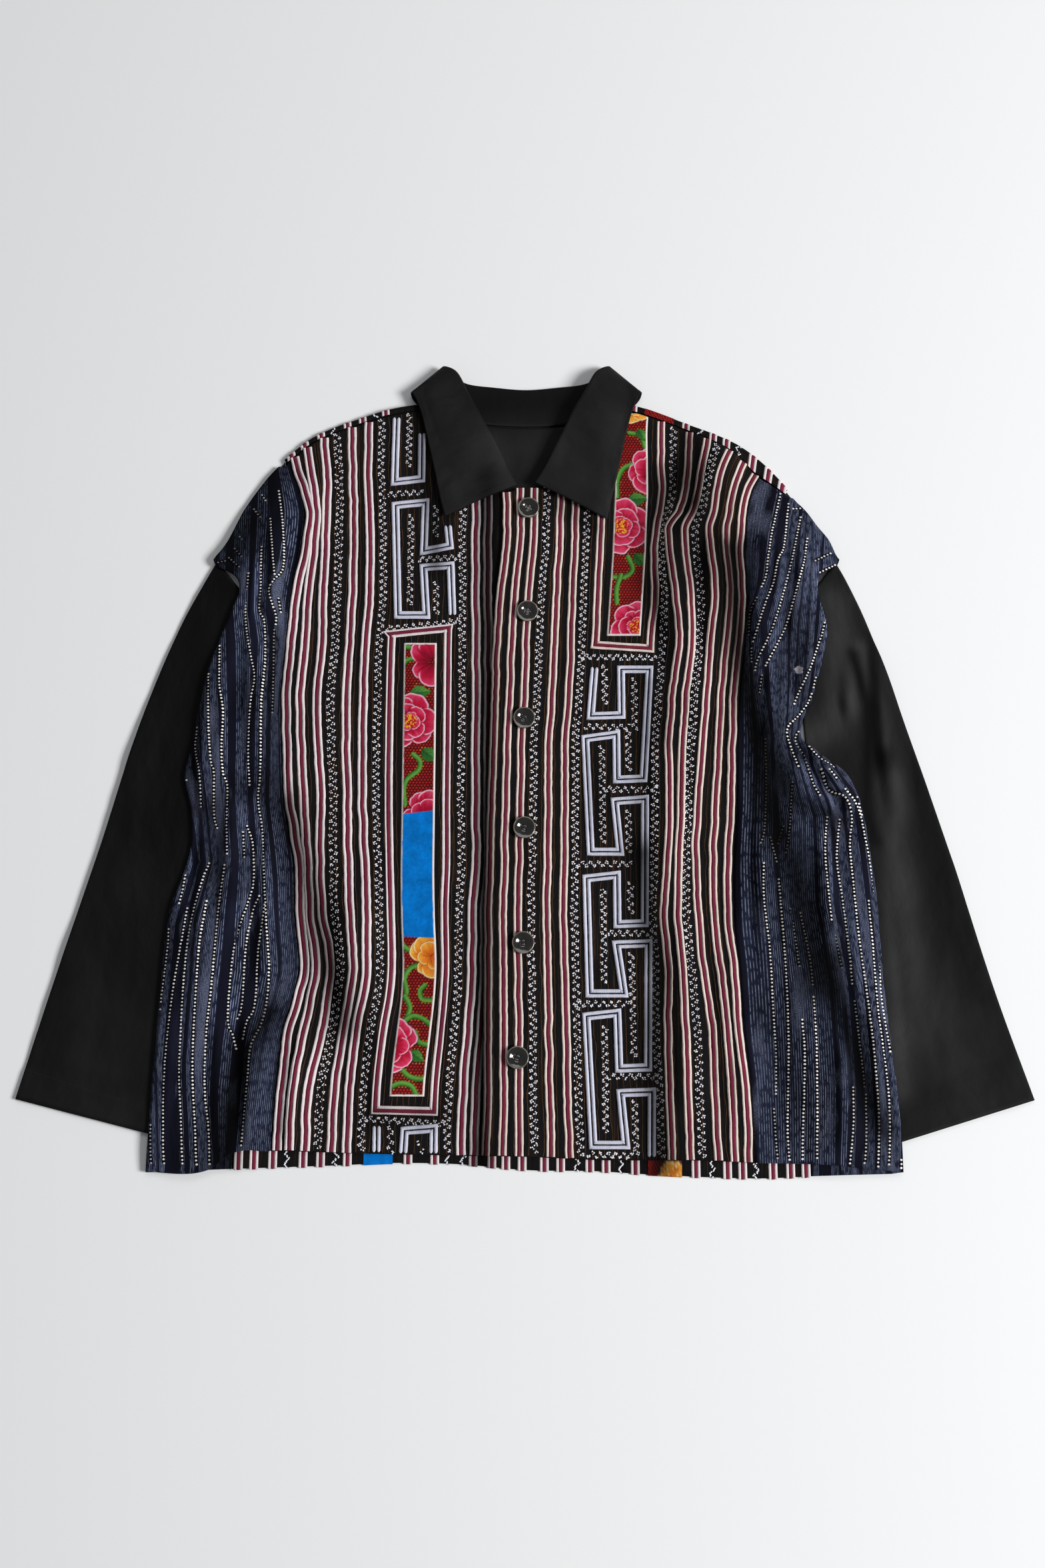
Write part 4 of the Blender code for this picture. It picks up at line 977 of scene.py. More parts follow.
def indigo():
    """Indigo warp: plain dark stripes, groups of fine pale lines, and worn places."""
    finish = Finish("indigo_cotton_cloth", 0.9, sheen=0.02)
    plain = finish.grey(finish.noise(150, 0.6, 0.0), 0.52, 0.57)
    patch = finish.noise(40, 10, 5.0)
    grain = finish.noise(1500, 900, 1.0)
    broken = finish.grey(finish.noise(420, 160, 2.0), 0.38, 0.56)
    dark = finish.ramp(patch, (0.36, (0.0025, 0.0027, 0.0062)), (0.64, (0.0055, 0.0060, 0.0130)))
    ground = finish.ramp(
        patch,
        (0.34, (0.0052, 0.0062, 0.0145)), (0.56, (0.0100, 0.0125, 0.0280)), (0.72, (0.018, 0.022, 0.045)),
    )
    hair = finish.grey(finish.wave(250, 1.5, "X", 0.5), 0.66, 0.94)
    lines = finish.mix(finish.mix(1.0, hair, broken, "MULTIPLY"), ground, (0.120, 0.140, 0.200))
    shown = finish.mix(plain, lines, dark)
    worn = finish.grey(finish.noise(62, 11, 4.0), 0.56, 0.68)
    rubbed = finish.ramp(grain, (0.34, (0.022, 0.028, 0.056)), (0.66, (0.100, 0.110, 0.160)))
    finish.colour(finish.mix(worn, shown, rubbed))
    warp, weave, crumple = finish.noise(1300, 60), finish.noise(1500, 1500, 0.0), finish.noise(110, 38)
    finish.bump((warp, 0.35), (weave, 0.22), (crumple, 1.2))
    return finish.made


def twill():
    """Matt black with a fine diagonal weave, a little worn."""
    finish = Finish("black_twill_cloth", 0.62, gloss=0.12)
    worn = finish.noise(22, 16, 3.0)
    finish.colour(finish.ramp(worn, (0.30, (0.0050, 0.0050, 0.0051)), (0.72, (0.0090, 0.0090, 0.0092))))
    finish.bump((finish.wave(900, 900), 0.14), (finish.noise(70, 45, 3.0), 1.0))
    return finish.made


def tape_finish(name, light, dark):
    """Tape or thread of one colour, with soiled places."""
    finish = Finish(name, 0.85, sheen=0.03)
    soil = finish.noise(60, 22, 3.0)
    weave = finish.noise(900, 340)
    base = finish.ramp(soil, (0.30, dark), (0.62, light))
    between_threads = tuple(v * 0.82 for v in light)
    finish.colour(finish.mix(finish.grey(weave, 0.25, 0.75), between_threads, base))
    finish.bump((weave, 0.3))
    return finish.made


def painted(name):
    """Cloth that takes its colour from its points."""
    finish = Finish(name, 0.8, sheen=0.01)
    stored = finish.node("ShaderNodeVertexColor", layer_name="print").outputs["Color"]
    weave = finish.noise(1400, 1400, 0.0)
    between_threads = finish.mix(1.0, stored, (0.84, 0.84, 0.84), "MULTIPLY")
    finish.colour(finish.mix(finish.grey(weave, 0.2, 0.8), between_threads, stored))
    finish.bump((weave, 0.2))
    return finish.made


def horn():
    """Dark horn: clear, brownish and polished, with its colour from rim to middle in the points, which paint
    a highlight onto its rim.
    """
    finish = Finish("dark_horn", 0.14, coat=1.0, gloss=0.5)
    finish.shader.inputs["Coat Roughness"].default_value = 0.06
    swirl = finish.noise(190, 80, 3.0)
    stored = finish.node("ShaderNodeVertexColor", layer_name="print").outputs["Color"]
    clear = finish.ramp(swirl, (0.36, (0.5, 0.5, 0.5)), (0.62, (1.0, 1.0, 1.0)), (0.76, (2.6, 2.4, 2.0)))
    finish.colour(finish.mix(1.0, stored, clear, "MULTIPLY"))
    finish.bump((swirl, 0.02))
    return finish.made


def floor_finish():
    finish = Finish("floor", 0.95)
    finish.shader.inputs["Base Color"].default_value = (0.79, 0.795, 0.80, 1.0)
    return finish.made


# ---- looks: cloth panels ----

FINE = 3.0  # spacing of the points of a panel


# Further folds of the dressed cloth, over those of its solids.
SOFT_FOLDS = (
    # x0, y0, x1, y1, width toward -X, width toward +X, height
    (-230, -20, -226, -200, 7, 12, 4.0), (-247, -60, -252, -235, 6, 11, 3.8),
    (-268, -225, -262, -366, 14, 5, 4.5), (-240, -240, -238, -366, 5, 13, 3.5),
    (-285, -60, -292, -210, 8, 12, 3.2), (-305, -120, -310, -350, 8, 10, 2.6),
    (-236, 230, -230, 120, 7, 12, 3.4), (-250, 200, -252, 110, 6, 9, 3.2),
    (-243, 150, -234, 118, 5, 7, 3.0), (-240, 110, -243, 0, 7, 9, 3.0),
    (-274, 90, -278, -50, 7, 9, 3.4), (-290, 60, -294, -40, 6, 8, 2.6),
    (-208, 120, -212, -60, 8, 10, 1.6), (-192, -120, -184, -260, 9, 9, 2.2),
    (-198, -250, -206, -366, 8, 12, 2.4), (-168, -90, -160, -300, 10, 12, 1.8),
    (-150, 260, -148, 60, 9, 10, 1.2), (-130, -200, -134, -350, 8, 10, 1.5),
    (150, 300, 140, 232, 9, 12, 2.6), (176, 285, 158, 222, 9, 12, 2.8),
    (205, 270, 190, 205, 8, 12, 2.6), (122, 196, 126, 90, 6, 10, 3.0), (150, 190, 150, 60, 8, 11, 2.6),
    (186, 200, 184, 80, 8, 10, 2.6), (116, 60, 112, -120, 8, 10, 1.6), (142, 40, 137, -130, 8, 10, 2.4),
    (172, 60, 168, -90, 8, 10, 2.4), (192, -20, 192, -190, 6, 8, 2.6),
    (152, -150, 150, -350, 8, 12, 2.2), (180, -170, 188, -352, 8, 12, 2.2),
    (215, 226, 206, 90, 7, 10, 3.4), (236, 214, 224, 90, 7, 10, 3.6), (256, 196, 240, 92, 6, 9, 3.2),
    (224, 86, 214, -10, 7, 10, 3.2), (262, 120, 246, 44, 8, 9, 3.0), (205, -40, 205, -200, 6, 10, 3.2),
    (226, -70, 228, -240, 6, 8, 2.8), (262, -52, 266, -200, 14, 8, 6.5),
    (283, -70, 290, -260, 6, 8, 2.6), (246, -210, 248, -360, 8, 10, 2.6),
    (222, -240, 222, -360, 8, 10, 2.2), (272, -250, 268, -364, 8, 9, 2.4),
    (298, -210, 304, -360, 7, 9, 2.4),
)


def extra_folds(x, y):
    return ridges(SOFT_FOLDS, x, y)


def wrinkles(x, y, seed):
    """Small creases over the large folds, longer along the cloth than across it."""
    loose = 0.35 + 0.75 * smooth_step((np.abs(x) - 90) / 130)
    small = 0.9 * noise(x / 15 + 0.25 * noise(x / 40, y / 40, seed + 9), y / 62, seed + 1)
    smaller = 0.45 * noise(x / 6.5, y / 24, seed + 2)
    return loose * (small + smaller) + 0.09 * noise(x / 3.5, y / 7, seed + 3)


def front_surface(side):
    """Height of a front's upper face, for a plan place."""

    def height(x, y):
        return front_under(x, y, side) + STRIPED + extra_folds(x, y) + wrinkles(x, y, 20)

    return height


NEAR_HEM = -20  # the level of a front's column lines that gives its columns their places
FRONT_WIDTHS = {"left": 260, "right": 235}
FRONT_LENGTH = 690
# How far in from a front's edge its cloth goes down there, and how deep.
SEAM_CREASE = (2.2, 0.7)
TURNED_EDGE = (1.6, 0.5)


def front_columns(side, count):
    """Column lines of a front that follow its guides: (X by column and level, cloth place, levels)."""
    levels = np.linspace(348, -388, 369)
    lines = np.array([guide(side, name, levels) for name in ACROSS[side]])
    lines[ACROSS[side].index("seam")] -= SIGN[side] * SEAM_GAP / 2
    place = lines[:, NEAR_HEM]
    cloth = np.linspace(place[0], place[-1], count)
    x = np.array([np.interp(cloth, place, lines[:, k]) for k in range(len(levels))]).T
    return x, cloth, levels


def front_plan(side):
    """Plan places of a front's points, and how far across the cloth each column is."""
    across, cloth, levels = front_columns(side, int(FRONT_WIDTHS[side] / FINE))
    share = np.linspace(0, 1, int(FRONT_LENGTH / FINE))
    xs, ys = [], []
    for line in across:
        top = meeting(lambda y: np.interp(y, levels[::-1], line[::-1]), lambda x: front_top(x, side))
        low = float(curve(FRONT_HEM, 1, line[NEAR_HEM]))
        y = top + (low - top) * share
        xs.append(np.interp(y, levels[::-1], line[::-1]))
        ys.append(y)
    return np.array(xs).T, np.array(ys).T, cloth


def dressed_front(side, finish):
    """A front's cloth, with its folds, a crease at the seam and soft turned edges."""
    x, y, cloth = front_plan(side)
    rows, columns = x.shape
    over = front_surface(side)(x, y)
    # A crease runs down the side seam, and the turned edges are soft.
    column = np.arange(columns)[None, :] * FINE
    from_hem = np.arange(rows)[::-1, None] * FINE
    from_seam, from_edge = (column, column[:, ::-1]) if side == "right" else (column[:, ::-1], column)
    creases = ((from_seam, SEAM_CREASE), (from_edge, TURNED_EDGE), (from_hem, TURNED_EDGE))
    for away, (reach, depth) in creases:
        over = over - depth * np.exp(-((away / reach) ** 2))
    under = front_under(x, y, side) + 0.15 + 0.9 * extra_folds(x, y)
    over = np.maximum(over, under + 0.5)
    uv = np.stack(np.broadcast_arrays(cloth[None, :], y), axis=-1)
    name = "front_cloth_" + side
    made = shell(name, stack(x, y, under), stack(x, y, over), uv, finish)
    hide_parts("front_" + side)


# Share of a side panel's length at each of its rows, closer together at the shoulder.
SIDE_SHARE = np.concatenate([np.linspace(0, 0.1, 26), np.linspace(0.1, 1, 190)[1:]])


def side_front_plan(side, columns):
    return side_grid(
        lambda at: guide(side, "seam", at) + SIGN[side] * SEAM_GAP / 2,
        lambda at: side_edge(at, side),
        lambda at: front_top(at, side),
        FRONT_HEM,
        columns,
        SIDE_SHARE,
    )


def side_front_height(side, x, y, u):
    """Heights of a side front's two faces, going down to both of its edges."""
    under = front_under(x, y, side) - 1.1 * smooth_step((u - 0.7) / 0.3) + extra_folds(x, y)
    shape = under + INDIGO + wrinkles(x, y, 40) * (1 - 0.6 * smooth_step((u - 0.9) / 0.1))
    return under, shape - 0.6 * np.exp(-((u * 100 / 2.4) ** 2)) - 0.5 * np.exp(-(((1 - u) * 100 / 2.0) ** 2))


# Lines that the warp of each indigo side follows: place in the cloth, then points from the top down.
WARPS = {
    "right": (
        (20, (-245, 250), (-245, 194), (-244, 130), (-238, 100), (-239, 0), (-240, -46), (-231, -122),
         (-225, -200), (-238, -264), (-245, -352)),
        (46, (-284, 250), (-281, 130), (-274, 36), (-272, -22), (-265, -98), (-275, -210),
         (-277, -306), (-271, -366)),
        (69, (-308, 250), (-304, 60), (-294, -22), (-282, -104), (-295, -158), (-300, -280), (-294, -366)),
    ),
    "left": (
        (12, (237, 247), (227, 206), (220, 164), (205, 118), (209, 60), (215, 10), (209, -100),
         (215, -230), (215, -362)),
        (52, (268, 240), (262, 160), (252, 60), (244, 10), (257, -32), (267, -62), (266, -140),
         (277, -210), (280, -300), (276, -366)),
        (76, (300, 240), (285, 120), (268, 40), (264, -16), (284, -46), (288, -100), (296, -222),
         (302, -330), (300, -368)),
    ),
}


def warp_place(side, x, y):
    """How far across the cloth a plan place is, so that its threads follow the folds."""
    rows = [(0, guide(side, "seam", y))]
    for place, *points in WARPS[side]:
        table = np.array(points, float)[::-1]
        rows.append((place, np.interp(y, table[:, 1], table[:, 0])))
    found, away = 0 * x, np.abs(x)
    for (low, x0), (high, x1) in zip(rows, rows[1:]):
        x0, x1 = np.abs(x0), np.maximum(np.abs(x1), np.abs(x0) + 6)
        found = found + (high - low) * np.clip((away - x0) / (x1 - x0), 0, 1)
    return found + np.maximum(away - x1, 0)


def dressed_side_front(side, finish):
    """The indigo cloth beside a front, whose warp follows its folds."""
    x, y, u = side_front_plan(side, 40)
    under, over = side_front_height(side, x, y, u)
    low, high = stack(x, y, under + 0.1), stack(x, y, np.maximum(over, under + 0.4))
    uv = np.stack([SIGN[side] * (230 + warp_place(side, x, y)), y], axis=-1)
    made = shell("side_front_cloth_" + side, low, high, uv, finish)
    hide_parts("side_front_" + side)


def dressed_side_back(side, finish):
    """The indigo cloth under a side front."""
    sign = SIGN[side]
    x, y, u = side_grid(
        lambda at: back_seam(side, at) + sign * SEAM_GAP / 2,
        lambda at: side_edge(at, side) - sign * 1.0,
        lambda at: shoulder_line(at) - 1.5,
        BACK_HEM,
        18,
        SIDE_SHARE[::2],
    )
    under = lift(x, y)
    over = under + INDIGO - 0.4 * np.exp(-(((1 - u) * 70 / 1.6) ** 2))
    uv = np.stack([sign * (420 + 80 * u) + 0 * x, y], axis=-1)
    low, high = stack(x, y, under + 0.05), stack(x, y, over)
    made = shell("side_back_cloth_" + side, low, high, uv, finish)
    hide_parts("side_back_" + side)


# The back's upper edge runs between these X, and its lower one between its seams at this Y.
BACK_TOP_RIGHT, BACK_TOP_LEFT = -225.6, 242.6
BACK_LOW_Y = -370.0
FOLD_STEPS = 8  # rows round the fold over the shoulder
OVER_SHARES = (0.25, 0.5, 0.75, 1.0)  # rows from the fold down onto the front


def back_low_ends():
    """The X at which the back's lower edge starts and ends."""
    right, left = back_seam("right", BACK_LOW_Y), back_seam("left", BACK_LOW_Y)
    return right + SEAM_GAP / 2, left - SEAM_GAP / 2


def back_middle(x_top, rows):
    """The back's middle surface and outward directions, for any columns of its upper edge."""
    x_top = np.asarray(x_top, float)
    share = (x_top - BACK_TOP_RIGHT) / (BACK_TOP_LEFT - BACK_TOP_RIGHT)
    v = np.linspace(0, 1, rows)[:, None]
    low_right, low_left = back_low_ends()
    x_low = low_right + (low_left - low_right) * share
    radius = (STRIPED + LAYER_GAP) / 2
    step = 1.5
    slope = (shoulder_line(x_top + step) - shoulder_line(x_top - step)) / (2 * step)
    slope = np.where(np.abs(x_top) < NECK_HALF + 1, -np.sign(x_top) * 0.1, slope)
    out = unit(np.stack([-slope, np.ones_like(slope)], axis=1))
    y_fold = back_top(x_top)
    y_flat = np.where(np.abs(x_top) >= NECK_HALF, y_fold - radius, y_fold)
    x = x_low + (x_top - x_low) * v
    y_low = curve(BACK_HEM, 1, x_low)
    y = y_low + (y_flat - y_low) * v
    middle = [stack(x, y, lift(x, y) + STRIPED / 2)]
    facing_out = [np.broadcast_to([0.0, 0.0, -1.0], (rows, len(x_top), 3))]
    rise = lift(x_top, y_flat) + STRIPED / 2
    for turn in math.pi * np.arange(1, FOLD_STEPS + 1) / FOLD_STEPS:
        level, up = math.sin(turn), -math.cos(turn)
        ring = stack(
            x_top + out[:, 0] * radius * level,
            y_flat + out[:, 1] * radius * level,
            rise + radius + radius * up,
        )
        middle.append(ring[None])
        direction = np.stack([out[:, 0] * level, out[:, 1] * level, np.full(len(x_top), up)], 1)
        facing_out.append(direction[None])
    over = curve(BACK_OVER_SHOULDER, 1, x_top) - radius
    for part in OVER_SHARES:
        down_x = x_top - out[:, 0] * over * part * 0.2
        down_y = shoulder_line(down_x) - radius - over * part
        fold = ridges(BODY_FOLDS, down_x, down_y)
        top = stack(down_x, down_y, lift(down_x, down_y) + STRIPED / 2 + 2 * radius + fold)
        middle.append(top[None])
        facing_out.append(np.broadcast_to([0.0, 0.0, 1.0], (1, len(x_top), 3)))
    return np.concatenate(middle), np.concatenate(facing_out)


BACK_THIN = 0.35  # the cloth's outer face stands back this far for the bands on it


def dressed_back(finish):
    """The back's cloth, folded over both shoulders."""
    rows = 120
    shoulder_right = np.linspace(BACK_TOP_RIGHT, -NECK_HALF, 34)
    neck = np.linspace(-86, 86, 36)
    shoulder_left = np.linspace(NECK_HALF, BACK_TOP_LEFT, 38)
    x_top = np.concatenate([shoulder_right, neck, shoulder_left])
    middle, facing_out = back_middle(x_top, rows)
    inner = middle - facing_out * STRIPED / 2
    outer = middle + facing_out * (STRIPED / 2 - BACK_THIN)
    inner[:rows, :, 2] -= 0.2
    path = distances(middle[:, 60])
    uv = np.stack(np.broadcast_arrays(x_top[None, :] + 600, path[:, None]), axis=-1)
    # Only the columns outside the neck fold over, so three shells share their edges.
    start, stop = len(shoulder_right), len(shoulder_right) + len(neck)
    parts = (
        ("right", slice(0, start), len(middle)),
        ("left", slice(stop, None), len(middle)),
        ("neck", slice(start - 1, stop + 1), rows),
    )
    made = []
    for name, columns, kept in parts:
        low, high, place = (grid[:kept, columns] for grid in (inner, outer, uv))
        made.append(shell("back_cloth_" + name, low, high, place, finish))
    main = join("back_cloth", made)
    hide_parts("back")


def join(name, objects):
    """One mesh out of several."""
    bm = bmesh.new()
    for found in objects:
        bm.from_mesh(found.data)
    bmesh.ops.remove_doubles(bm, verts=bm.verts, dist=1e-6)
    kept = objects[0]
    bm.to_mesh(kept.data)
    bm.free()
    for found in objects[1:]:
        bpy.data.objects.remove(found, do_unlink=True)
    kept.name = kept.data.name = name
    return kept


def dressed_facing(finish):
    """The half-moon of twill inside the back neck."""
    x = np.linspace(-56, 56, 60)[None, :]
    v = np.linspace(0, 1, 40)[:, None]
    top, low = curve(BACK_FACING, 1, x), curve(BACK_FACING, 2, x)
    y = top + (low - top) * v
    under = lift(x, y) + STRIPED + 0.6
    over = under + FACING + 0.25 * wrinkles(x, y, 60)
    uv = np.stack(np.broadcast_arrays(x, y), axis=-1)
    made = shell("facing_cloth", stack(x, y, under), stack(x, y, over), uv, finish)
    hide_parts("back_facing")


CUFF_HEM = 25.0  # depth of the stitched hem at the cuff
CUFF_STEP = 0.35  # height that the hem adds
SLEEVE_HOLLOW = 0.5  # half the height inside a sleeve
SLEEVE_ROWS = 110
SLEEVE_COLUMNS, SLEEVE_TURNS = 52, 5  # points across each layer, and steps round each side


def sleeve_plan(side, share, along):
    """Plan place on a flattened sleeve: share of the way to the inner edge, and share of the length."""
    outer_edge = LEFT_SLEEVE_OUTER if side == "left" else RIGHT_SLEEVE_OUTER
    inner_edge = LEFT_SLEEVE_INNER if side == "left" else RIGHT_SLEEVE_INNER
    x = curve(outer_edge, 1, along) * (1 - share) + curve(inner_edge, 1, along) * share
    y = curve(outer_edge, 2, along) * (1 - share) + curve(inner_edge, 2, along) * share
    return x, y


def sleeve_length(side):
    return np.hypot(*(np.array(sleeve_plan(side, 0.5, 1.0)) - sleeve_plan(side, 0.5, 0.0)))


def sleeve_top(side, x, y):
    """Height of the upper face of a sleeve beside the body."""
    sign = SIGN[side]
    covered = max_over(lambda at: sign * side_edge(at, side), y, 24.0)
    free = smooth_step((x * sign - covered - 8) / 24)
    small = 0.8 * noise(x / 26, y / 60, 71) + 0.45 * noise(x / 11, y / 26, 72)
    small = small + 0.15 * noise(x / 4, y / 9, 73)
    return 2 * SLEEVE_HALF + (ridges(SLEEVE_FOLDS, x, y) + small) * free


def dressed_sleeve(side, finish):
    """A flattened tube: round its section, then along it."""
    v = np.linspace(0, 1, SLEEVE_ROWS)
    (x0, y0), (x1, y1) = sleeve_plan(side, 0, v), sleeve_plan(side, 1, v)
    wide = np.hypot(x1 - x0, y1 - y0)
    inset = SLEEVE_HALF / wide
    # Round the section: share of the way to the inner edge, and share of the half height.
    across = [(1 - 2 * inset) * k / (SLEEVE_COLUMNS - 1) for k in range(SLEEVE_COLUMNS)]
    turns = [math.pi * k / SLEEVE_TURNS for k in range(1, SLEEVE_TURNS)]
    loop = [(inset + part, 1.0) for part in across]
    loop += [(1 - inset + math.sin(turn) * inset, math.cos(turn)) for turn in turns]
    loop += [(1 - inset - part, -1.0) for part in across]
    loop += [(inset - math.sin(turn) * inset, -math.cos(turn)) for turn in turns]
    length = sleeve_length(side)
    hem = smooth_step(((v - 1) * length + CUFF_HEM + 0.8) / 0.8)
    grids = []
    for reach in (SLEEVE_HOLLOW, SLEEVE_HALF):
        columns = []
        for share, up in loop:
            x, y = sleeve_plan(side, share, v)
            z = SLEEVE_HALF + up * reach
            if up > 0:
                z = z + (sleeve_top(side, x, y) - 2 * SLEEVE_HALF) * smooth_step(up / 0.9)
                if reach == SLEEVE_HALF:
                    z = z + CUFF_STEP * hem * smooth_step(up)
            columns.append(stack(x, y, z))
        grids.append(np.stack(columns, axis=1))
    share = np.array([entry[0] + 0 * v for entry in loop]).T
    uv = np.stack(np.broadcast_arrays(share * wide[:, None] + 700, v[:, None] * length), axis=-1)
    made = shell("sleeve_cloth_" + side, grids[0], grids[1], uv, finish, closed=True)
    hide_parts("sleeve_" + side)


def cuff_line(side):
    """The row of stitches that holds the cuff's hem, on the upper face."""
    share = np.linspace(0.01, 0.99, 90)
    x, y = sleeve_plan(side, share, 1 - CUFF_HEM / sleeve_length(side) + 0 * share)
    points = stack(x, y, sleeve_top(side, x, y) + 0.1)
    return points, np.tile((0.0, 0.0, 1.0), (len(points), 1))


COLLAR_CROWN = 1.6  # how far the fall bulges between its roll and its edge
COLLAR_CLEAR = 1.2  # room under the fall, over a front
ROLLED_UNDER = 1.2  # where its roll turns by more radians than this, the fall lies underneath
LEAF_SHARE = 0.355  # share of the collar's length that each of its leaves takes, in front
# The collar's grid: rows along it, and columns across the stand, the roll and the fall.
COLLAR_ROWS = 200
STAND_COLUMNS, ROLL_COLUMNS, FALL_COLUMNS = 12, 14, 40


def collar_middle(shares, across):
    """The collar's middle surface over a grid of shares along it and places across it."""
    values = [curve(COLLAR_SECTIONS, column, shares) for column in range(1, 12)]
    neck, roll, edge = (np.stack(values[i : i + 3], axis=1) for i in (0, 3, 6))
    turn, radius = np.radians(values[9])[:, None], values[10][:, None]
    inward = (neck + edge) / 2 - roll
    inward[:, 2] *= 0.2
    inward = unit(inward)
    beside = edge - neck
    beside[:, 2] = 0
    beside -= inward * np.sum(beside * inward, axis=1)[:, None]
    beside[:, 2] = 0
    beside = unit(beside, 1e-6)
    upward = np.cos(turn) * np.array([0.0, 0.0, 1.0]) + np.sin(turn) * beside
    upward = unit(upward - inward * np.sum(upward * inward, axis=1)[:, None])
    centre = roll + inward * radius
    lines = []
    for place in across:
        if place <= 1:
            start = centre - upward * radius
            lines.append(neck + (start - neck) * place)
        elif place < 2:
            angle = math.pi * (place - 1)
            lines.append(centre + radius * (-inward * math.sin(angle) - upward * math.cos(angle)))
        else:
            start = centre + upward * radius
            t = place - 2
            point = start + (edge - start) * t
            crown = point[:, 2] + COLLAR_CROWN * math.sin(math.pi * t)
            rest = np.where(
                point[:, 0] > 0,
                top_of_front("left", point[:, 0], point[:, 1]),
                top_of_front("right", point[:, 0], point[:, 1]),
            ) + COLLAR_CLEAR
            rest = rest + (STRIP_GAP + APPLIQUE) * smooth_step((t - 0.1) / 0.4)
            point[:, 2] = np.where(turn[:, 0] < ROLLED_UNDER, np.maximum(crown, rest), point[:, 2])
            lines.append(point)
    return np.stack(lines, axis=1)


COLLAR_STITCH_IN = 6.0  # the topstitching lies this far inside the collar's edges
COLLAR_FALL = 62.0  # depth of the fall


def collar_stitch_line(top, normal, across):
    """Where the topstitching runs: down one short edge, along the outer edge and up the other."""
    fall = int(np.searchsorted(across, 2.12))
    low = int(np.searchsorted(across, 3 - COLLAR_STITCH_IN / COLLAR_FALL))
    ends = distances(top[:, low])
    first = int(np.searchsorted(ends, COLLAR_STITCH_IN))
    last = int(np.searchsorted(ends, ends[-1] - COLLAR_STITCH_IN))
    rows = [(first, k) for k in range(fall, low)] + [(k, low) for k in range(first, last)]
    rows += [(last, k) for k in range(low, fall, -1)]
    i, j = np.array(rows).T
    return top[i, j], normal[i, j]


def dressed_collar(finish):
    """The collar's cloth. Also gives the points and normals of its topstitching."""
    shares = np.linspace(0, 1, COLLAR_ROWS)
    stand, roll = np.linspace(0, 1, STAND_COLUMNS), np.linspace(1, 2, ROLL_COLUMNS)[1:-1]
    across = np.concatenate([stand, roll, np.linspace(2, 3, FALL_COLUMNS)])
    middle = collar_middle(shares, across)
    normal = unit(np.cross(np.gradient(middle, axis=0), np.gradient(middle, axis=1)))
    s, a = np.meshgrid(shares * 60, across * 3, indexing="ij")
    # Where the fall lies on top it is a little uneven.
    free = (smooth_step((across - 1.9) / 0.3) * smooth_step((3.02 - across) / 0.1))[None, :]
    in_front = smooth_step((LEAF_SHARE - np.minimum(shares, 1 - shares)) / 0.03)[:, None]
    uneven = 0.95 * noise(s / 3.6, a / 1.5, 81) + 0.40 * noise(s / 1.5, a / 0.8, 82)
    uneven = (uneven + 0.10 * noise(s / 0.4, a / 0.25, 83)) * free * in_front
    half = COLLAR / 2
    if normal[10, 45, 2] < 0:  # on a leaf's fall, which faces up
        normal = -normal
    top = middle + normal * (half + uneven)[:, :, None]
    low = middle - normal * (half - 0.5 * uneven)[:, :, None]
    length, reach = distances(middle[:, 30]), distances(middle[60])
    uv = np.stack(np.broadcast_arrays(length[:, None], reach[None, :]), axis=-1)
    made = shell("collar_cloth", low, top, uv, finish)
    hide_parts("collar")
    return collar_stitch_line(top, normal, across)


# Section of a button, in rings from its middle out, round the rim and under.
DISC_RINGS = 13  # rings of the flat middle that holds the holes
DISC_RADIUS, DISC_HEIGHT = 3.0, 1.2
BUTTON_SECTION = (
    # radius, height
    (3.2, 1.22), (3.6, 1.31), (4.2, 1.53), (4.8, 1.83), (5.4, 2.17), (6.0, 2.49), (6.6, 2.76), (7.2, 2.98),
    (7.8, 3.15), (8.3, 3.26), (8.7, 3.33), (9.0, 3.37), (9.2, 3.42), (9.4, 3.40), (9.6, 3.28), (9.8, 3.0),
    (9.95, 2.5), (10.0, 1.9), (9.9, 1.2), (9.6, 0.6), (8.6, 0.15), (7.0, 0.0), (0.001, 0.0),
)
# How pale the horn is, by radius, with a painted highlight as the bright ring at the rim, and the same on
# the rings of its underside.
HORN_SHADES_AND_RIM_HIGHLIGHT = ((0, 0.5), (3.0, 0.7), (8.3, 1.1), (8.8, 3.0), (9.3, 22.0), (9.6, 14.0), (10.0, 4.0))
UNDERSIDE_RINGS, UNDERSIDE_SHADE = 5, 2.0
HORN_COLOUR = (0.0110, 0.0098, 0.0078)
BUTTON_SIDES = 96
BUTTON_TURNS = (17, 38, 8, 29, 50, 22)  # in degrees, from the top button down
HOLE_CIRCLE = 2.25  # radius of the circle that the holes lie on
HOLE_RADIUS, HOLE_WALL, HOLE_DEPTH = 1.15, 0.45, 1.0
BUTTON_GAP = 0.5  # room under a button
THREAD_RADIUS, THREAD_SPACING = 0.16, 0.28
THREAD_RISE, THREAD_DROP = 1.52, 0.9  # height of a bar of thread, and how far its ends go down a hole
CORD_SIDES = 6


